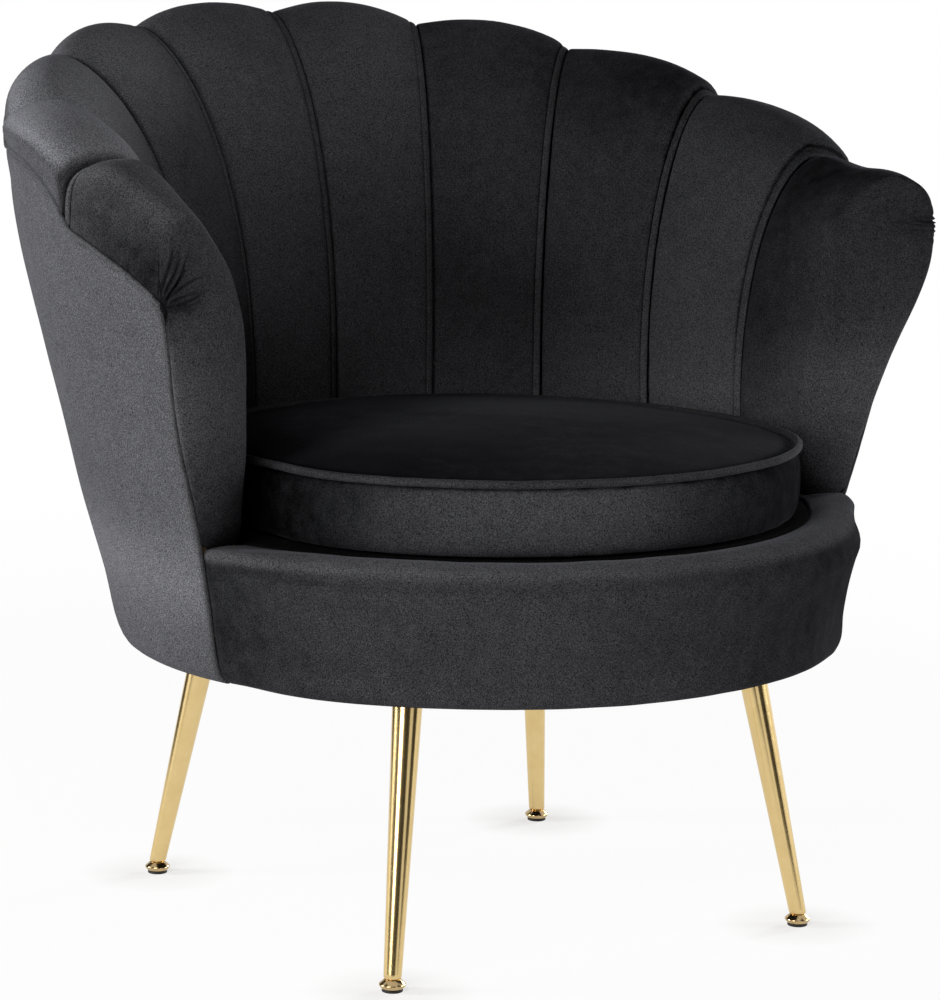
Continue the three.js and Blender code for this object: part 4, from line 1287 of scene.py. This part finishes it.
def make_deck():
    low, high = box_of("deck_pad")
    shares = [0.2, 0.4, 0.6, 0.75, 0.86, 0.94, 0.985]
    rows = disc_rows((high[0] - low[0]) / 2 - 1, shares, low[2], high[2] - 0.6, 0.3)
    points = rows.reshape(-1, 3)
    points[:, 2] += 0.2 * wander(points, 60, (1, 7, 7)) * (points[:, 2] > low[2] + 3)
    obj = piece("deck_cloth", points, grid_faces(len(rows), len(TURN), False, True), LINING)
    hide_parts("deck_pad")


CORNERS = ("front_left", "front_right", "rear_right", "rear_left")
PLATE_HOLE = 16.5
CLOTH_THICKNESS = 0.8


def make_underside():
    """A thin cloth over the underside, with a hole round each leg's plate."""
    low, high = box_of("underside_cloth")
    middle = (low[2] + high[2]) / 2
    rings = [(0, 0, (high[0] - low[0]) / 2 - 1, 96)]
    for corner in CORNERS:
        x, y, _ = sum(box_of(f"leg_plate_{corner}")) / 2
        rings.append((x, y, PLATE_HOLE, 28))
    work = bmesh.new()
    edges = []
    for x, y, radius, sides in rings:
        verts = [work.verts.new((x + radius * math.cos(t), y + radius * math.sin(t), middle))
                 for t in round_angles(sides)]
        edges += [work.edges.new((verts[i], verts[(i + 1) % sides])) for i in range(sides)]
    bmesh.ops.triangle_fill(work, edges=edges, use_beauty=True)
    bmesh.ops.subdivide_edges(work, edges=work.edges, cuts=3, use_grid_fill=True)
    points = np.array([v.co[:] for v in work.verts])
    faces = [[v.index for v in f.verts] for f in work.faces]
    borders = [[v.index for v in e.verts] for e in work.edges if e.is_boundary]
    work.free()
    sag = np.ones(len(points))
    sag[np.unique(borders)] = 0
    points[:, 2] -= sag * (0.5 + 0.5 * wander(points, 70, (2, 6, 2)))
    count = len(points)
    both = np.concatenate([points, points - [0, 0, CLOTH_THICKNESS]])
    faces += [[i + count for i in face][::-1] for face in faces]
    faces += [[a, b, b + count, a + count] for a, b in borders]
    obj = piece("base_cloth", both, faces, LINING, joined=False)
    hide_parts("underside_cloth")


def make_webbing():
    for number in (1, 2, 3):
        low, high = box_of(f"webbing_{number}")
        xs = np.linspace(low[0], high[0], 11)
        thread = 0.1 * (np.arange(11) % 2)
        mid = (low[2] + high[2]) / 2
        loops = []
        for y in np.linspace(low[1], high[1], 90):
            half = 0.8 + 0.12 * math.sin(y * 1.4) + thread
            top = np.stack([xs, y + 0 * xs, mid + half], -1)
            under = np.stack([xs, y + 0 * xs, mid - half], -1)
            loops.append(np.concatenate([top, under[::-1]]))
        obj = piece(f"seat_strap_{number}", *swept(loops), WEBBING)
        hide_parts(f"webbing_{number}")


# Legs and glides. A leg's end is given as shares of its length and changes of its radius, and a turned
# section as radii and heights

LEG_START = 10.9
LEG_RADII = (7.5, 12.9)
LEG_END = [(0, -0.9), (0.002, -0.35), (0.006, 0)]
GLIDE_SECTION = [(0, 2.5), (8.6, 2.5), (9.0, 2.7), (9.4, 3.2), (10.9, 4.9), (11.2, 5.5), (11.2, 6.3),
                 (10.9, 6.9), (7.3, 10.1), (6.9, 10.5), (6.4, 10.6), (3, 10.6), (3, 24.2), (2.6, 24.6),
                 (0, 24.6)]
SOLE_SECTION = [(0, 0), (8.2, 0), (8.6, 0.2), (8.8, 0.6), (8.8, 1.7), (8.6, 2.1), (8.2, 2.2), (0, 2.2)]


def ring_at(centre, radius, height, sides):
    turn = round_angles(sides)
    x, y = centre[0] + radius * np.cos(turn), centre[1] + radius * np.sin(turn)
    return np.stack([x, y, height + 0 * turn], -1)


def turned(name, centre, section, material, body):
    """A turned form on an upright axis."""
    rows = np.array([ring_at(centre, radius, height, 48) for radius, height in section])
    return piece(name, rows.reshape(-1, 3), grid_faces(len(rows), 48, False, True), material, body)


def make_legs():
    for corner in CORNERS:
        foot = sum(box_of(f"glide_pad_{corner}")) / 2
        foot[2] = LEG_START
        low, high = box_of(f"leg_plate_{corner}")
        head = (low + high) / 2
        head[2] = low[2] - GAP
        rows = []
        for share, extra in [*LEG_END, *[(s, 0) for s in np.linspace(0.02, 1, 40)]]:
            centre = foot + (head - foot) * share
            radius = LEG_RADII[0] + (LEG_RADII[1] - LEG_RADII[0]) * share + extra
            rows.append(ring_at(centre, radius, centre[2], 64))
        obj = piece(f"leg_tube_{corner}", *swept(rows), GOLD)
        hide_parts(f"leg_{corner}")
        body = f"glide_{corner}"
        obj = turned(f"glide_foot_{corner}", foot, GLIDE_SECTION, BRONZE, body)
        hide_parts(f"glide_{corner}")
        obj = turned(f"glide_sole_{corner}", foot, SOLE_SECTION, RUBBER, body)
        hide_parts(f"glide_pad_{corner}")


for n in range(2, 10):
    make_petal(n)
for n in range(1, 10):
    make_strip(n)
make_arm("left", 1)
make_arm("right", 10)
make_cover()
make_welts()
make_band()
make_cushion()
make_deck()
make_underside()
make_webbing()
make_legs()

FINISHES = {"wood": WOOD, "steel": STEEL, "gold": GOLD, "rubber": RUBBER, "webbing": WEBBING,
            "lining": LINING, "velvet": VELVET, "velvet_piping": VELVET_CORD, "foam": LINING}
for row in frame["record"]["subparts"]:
    node = frame["nodes"][row["node"]]
    for index in range(len(node.material_slots)):
        node.material_slots[index].material = FINISHES[row["material_slot"]]


# Stage

FLOOR_SIZE = 30
FLOOR_NEAR, FLOOR_FAR = 0.8, 2.4
FLOOR_WHITE = 0.93
FOOT_WHITE = 0.6
FOOT_REACH = 0.1
MIRRORED_WHITE = 0.8
WORLD_LEVEL = 0.02

# Dark flags that only the polished legs mirror: direction and width in degrees
FLAGS = [(-142, 34), (-88, 28), (-30, 34), (22, 30)]
FLAG_STEPS = 8
FLAG_DISTANCE = 1.15
FLAG_LOW, FLAG_HIGH = 0.002, 1.3

# Name, direction from the chair's front and above the floor in degrees, size in metres, power in watts
LAMPS = [("high", -45, 30, 1, 36), ("low", -65, 8, 1, 46), ("left", -115, 8, 1, 112),
         ("right_front", 60, 8, 1, 45), ("right_rear", 100, 8, 1, 84)]
LAMP_DISTANCE = 3.5
LAMP_AIM = Vector((0, 0, 0.5))

# The camera fitted to the photo: angles in degrees, distance in metres, lens and sensor in millimetres
CAMERA_SIDE, CAMERA_RISE, CAMERA_ROLL = -31.78, 9.31, 0.882
CAMERA_AIM = Vector((0.0752, 0.1328, 0.3363))
CAMERA_DISTANCE = 3.416
CAMERA_LENS, CAMERA_SENSOR = 133.34, 36


def direction(azimuth, elevation):
    azimuth, elevation = math.radians(azimuth), math.radians(elevation)
    return Vector((math.sin(azimuth) * math.cos(elevation), -math.cos(azimuth) * math.cos(elevation),
                   math.sin(elevation)))


def seen_rays(tree):
    path = tree.nodes.new("ShaderNodeLightPath")
    mirrored = add_math(tree, "MULTIPLY", path.outputs["Is Glossy Ray"], MIRRORED_WHITE)
    seen = add_math(tree, "MAXIMUM", path.outputs["Is Camera Ray"], mirrored)
    return add_math(tree, "MAXIMUM", seen, path.outputs["Is Transmission Ray"])


def add_reach(tree, coords, spot, near, far, level):
    """A tone that grows from a level near a spot on the floor to 1 further out."""
    gap = tree.nodes.new("ShaderNodeVectorMath")
    gap.operation = "DISTANCE"
    gap.inputs[1].default_value = spot
    tree.links.new(coords, gap.inputs[0])
    spread = add_node(tree, "ShaderNodeMapRange", {
        "Value": gap.outputs["Value"], "From Min": near, "From Max": far, "To Min": level, "To Max": 1})
    spread.interpolation_type = "SMOOTHSTEP"
    return spread.outputs["Result"]


def make_floor():
    """A white floor: near the chair it takes a soft shadow, and further out it is the backdrop's white."""
    bpy.ops.mesh.primitive_plane_add(size=FLOOR_SIZE)
    floor = bpy.context.object
    floor.name = "floor"
    material, tree, shader, coords = nodes_of("pale_floor")
    shader.inputs["Base Color"].default_value = (0.92, 0.92, 0.92, 1)
    shader.inputs["Roughness"].default_value = 0.9
    shader.inputs["Specular IOR Level"].default_value = 0
    share = add_reach(tree, coords, (0, 0, 0), FLOOR_NEAR, FLOOR_FAR, FLOOR_WHITE)
    for corner in CORNERS:
        low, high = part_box(f"glide_pad_{corner}")
        spot = ((low.x + high.x) / 2, (low.y + high.y) / 2, 0)
        share = add_math(tree, "MINIMUM", share, add_reach(tree, coords, spot, 0, FOOT_REACH, FOOT_WHITE))
    white = tree.nodes.new("ShaderNodeEmission")
    mix = add_node(tree, "ShaderNodeMixShader", {"Fac": add_math(tree, "MULTIPLY", seen_rays(tree), share)})
    tree.links.new(shader.outputs["BSDF"], mix.inputs[1])
    tree.links.new(white.outputs["Emission"], mix.inputs[2])
    tree.links.new(mix.outputs["Shader"], tree.nodes["Material Output"].inputs["Surface"])
    floor.data.materials.append(material)


def make_flags():
    dark = matt("flag_cloth", (0.01, 0.009, 0.007), (0.03, 0.027, 0.02), 6, 0.9)
    for number, (azimuth, width) in enumerate(FLAGS):
        turns = [azimuth + width * (i / FLAG_STEPS - 0.5) for i in range(FLAG_STEPS + 1)]
        spots = [direction(turn, 0) * FLAG_DISTANCE for turn in turns]
        points = [(p.x, p.y, z) for z in (FLAG_LOW, FLAG_HIGH) for p in spots]
        mesh = bpy.data.meshes.new(f"flag_{number}")
        mesh.from_pydata(points, [], grid_faces(2, FLAG_STEPS + 1))
        flag = bpy.data.objects.new(f"flag_{number}", mesh)
        bpy.context.scene.collection.objects.link(flag)
        mesh.materials.append(dark)
        flag.visible_camera = flag.visible_diffuse = flag.visible_shadow = False


def make_world():
    world = bpy.data.worlds.new("studio")
    bpy.context.scene.world = world
    world.use_nodes = True
    tree = world.node_tree
    background = tree.nodes["Background"]
    background.inputs["Color"].default_value = (1, 1, 1, 1)
    level = add_line(tree, seen_rays(tree), 1 - WORLD_LEVEL, WORLD_LEVEL)
    tree.links.new(level, background.inputs["Strength"])


def make_lamp(name, azimuth, elevation, size, power):
    data = bpy.data.lights.new(name, "AREA")
    data.size = size
    data.energy = power
    lamp = bpy.data.objects.new(name, data)
    back = direction(azimuth, elevation)
    lamp.location = LAMP_AIM + back * LAMP_DISTANCE
    lamp.rotation_euler = (-back).to_track_quat("-Z", "Y").to_euler()
    bpy.context.scene.collection.objects.link(lamp)


def make_camera():
    back = direction(CAMERA_SIDE, CAMERA_RISE)
    roll = math.radians(CAMERA_ROLL)
    right = (-back).cross(Vector((0, 0, 1))).normalized()
    up = right.cross(-back)
    turned_right = right * math.cos(roll) + up * math.sin(roll)
    turned_up = up * math.cos(roll) - right * math.sin(roll)
    data = bpy.data.cameras.new("camera")
    data.lens = CAMERA_LENS
    data.sensor_width = CAMERA_SENSOR
    camera = bpy.data.objects.new("camera", data)
    axes = Matrix((turned_right, turned_up, back)).transposed().to_4x4()
    spot = CAMERA_AIM + Vector(AXIS_SHIFT) + back * CAMERA_DISTANCE
    camera.matrix_world = Matrix.Translation(spot) @ axes
    bpy.context.scene.collection.objects.link(camera)
    bpy.context.scene.camera = camera


make_floor()
make_flags()
make_world()
for lamp in LAMPS:
    make_lamp(*lamp)
make_camera()
bpy.context.scene.view_settings.view_transform = "Standard"
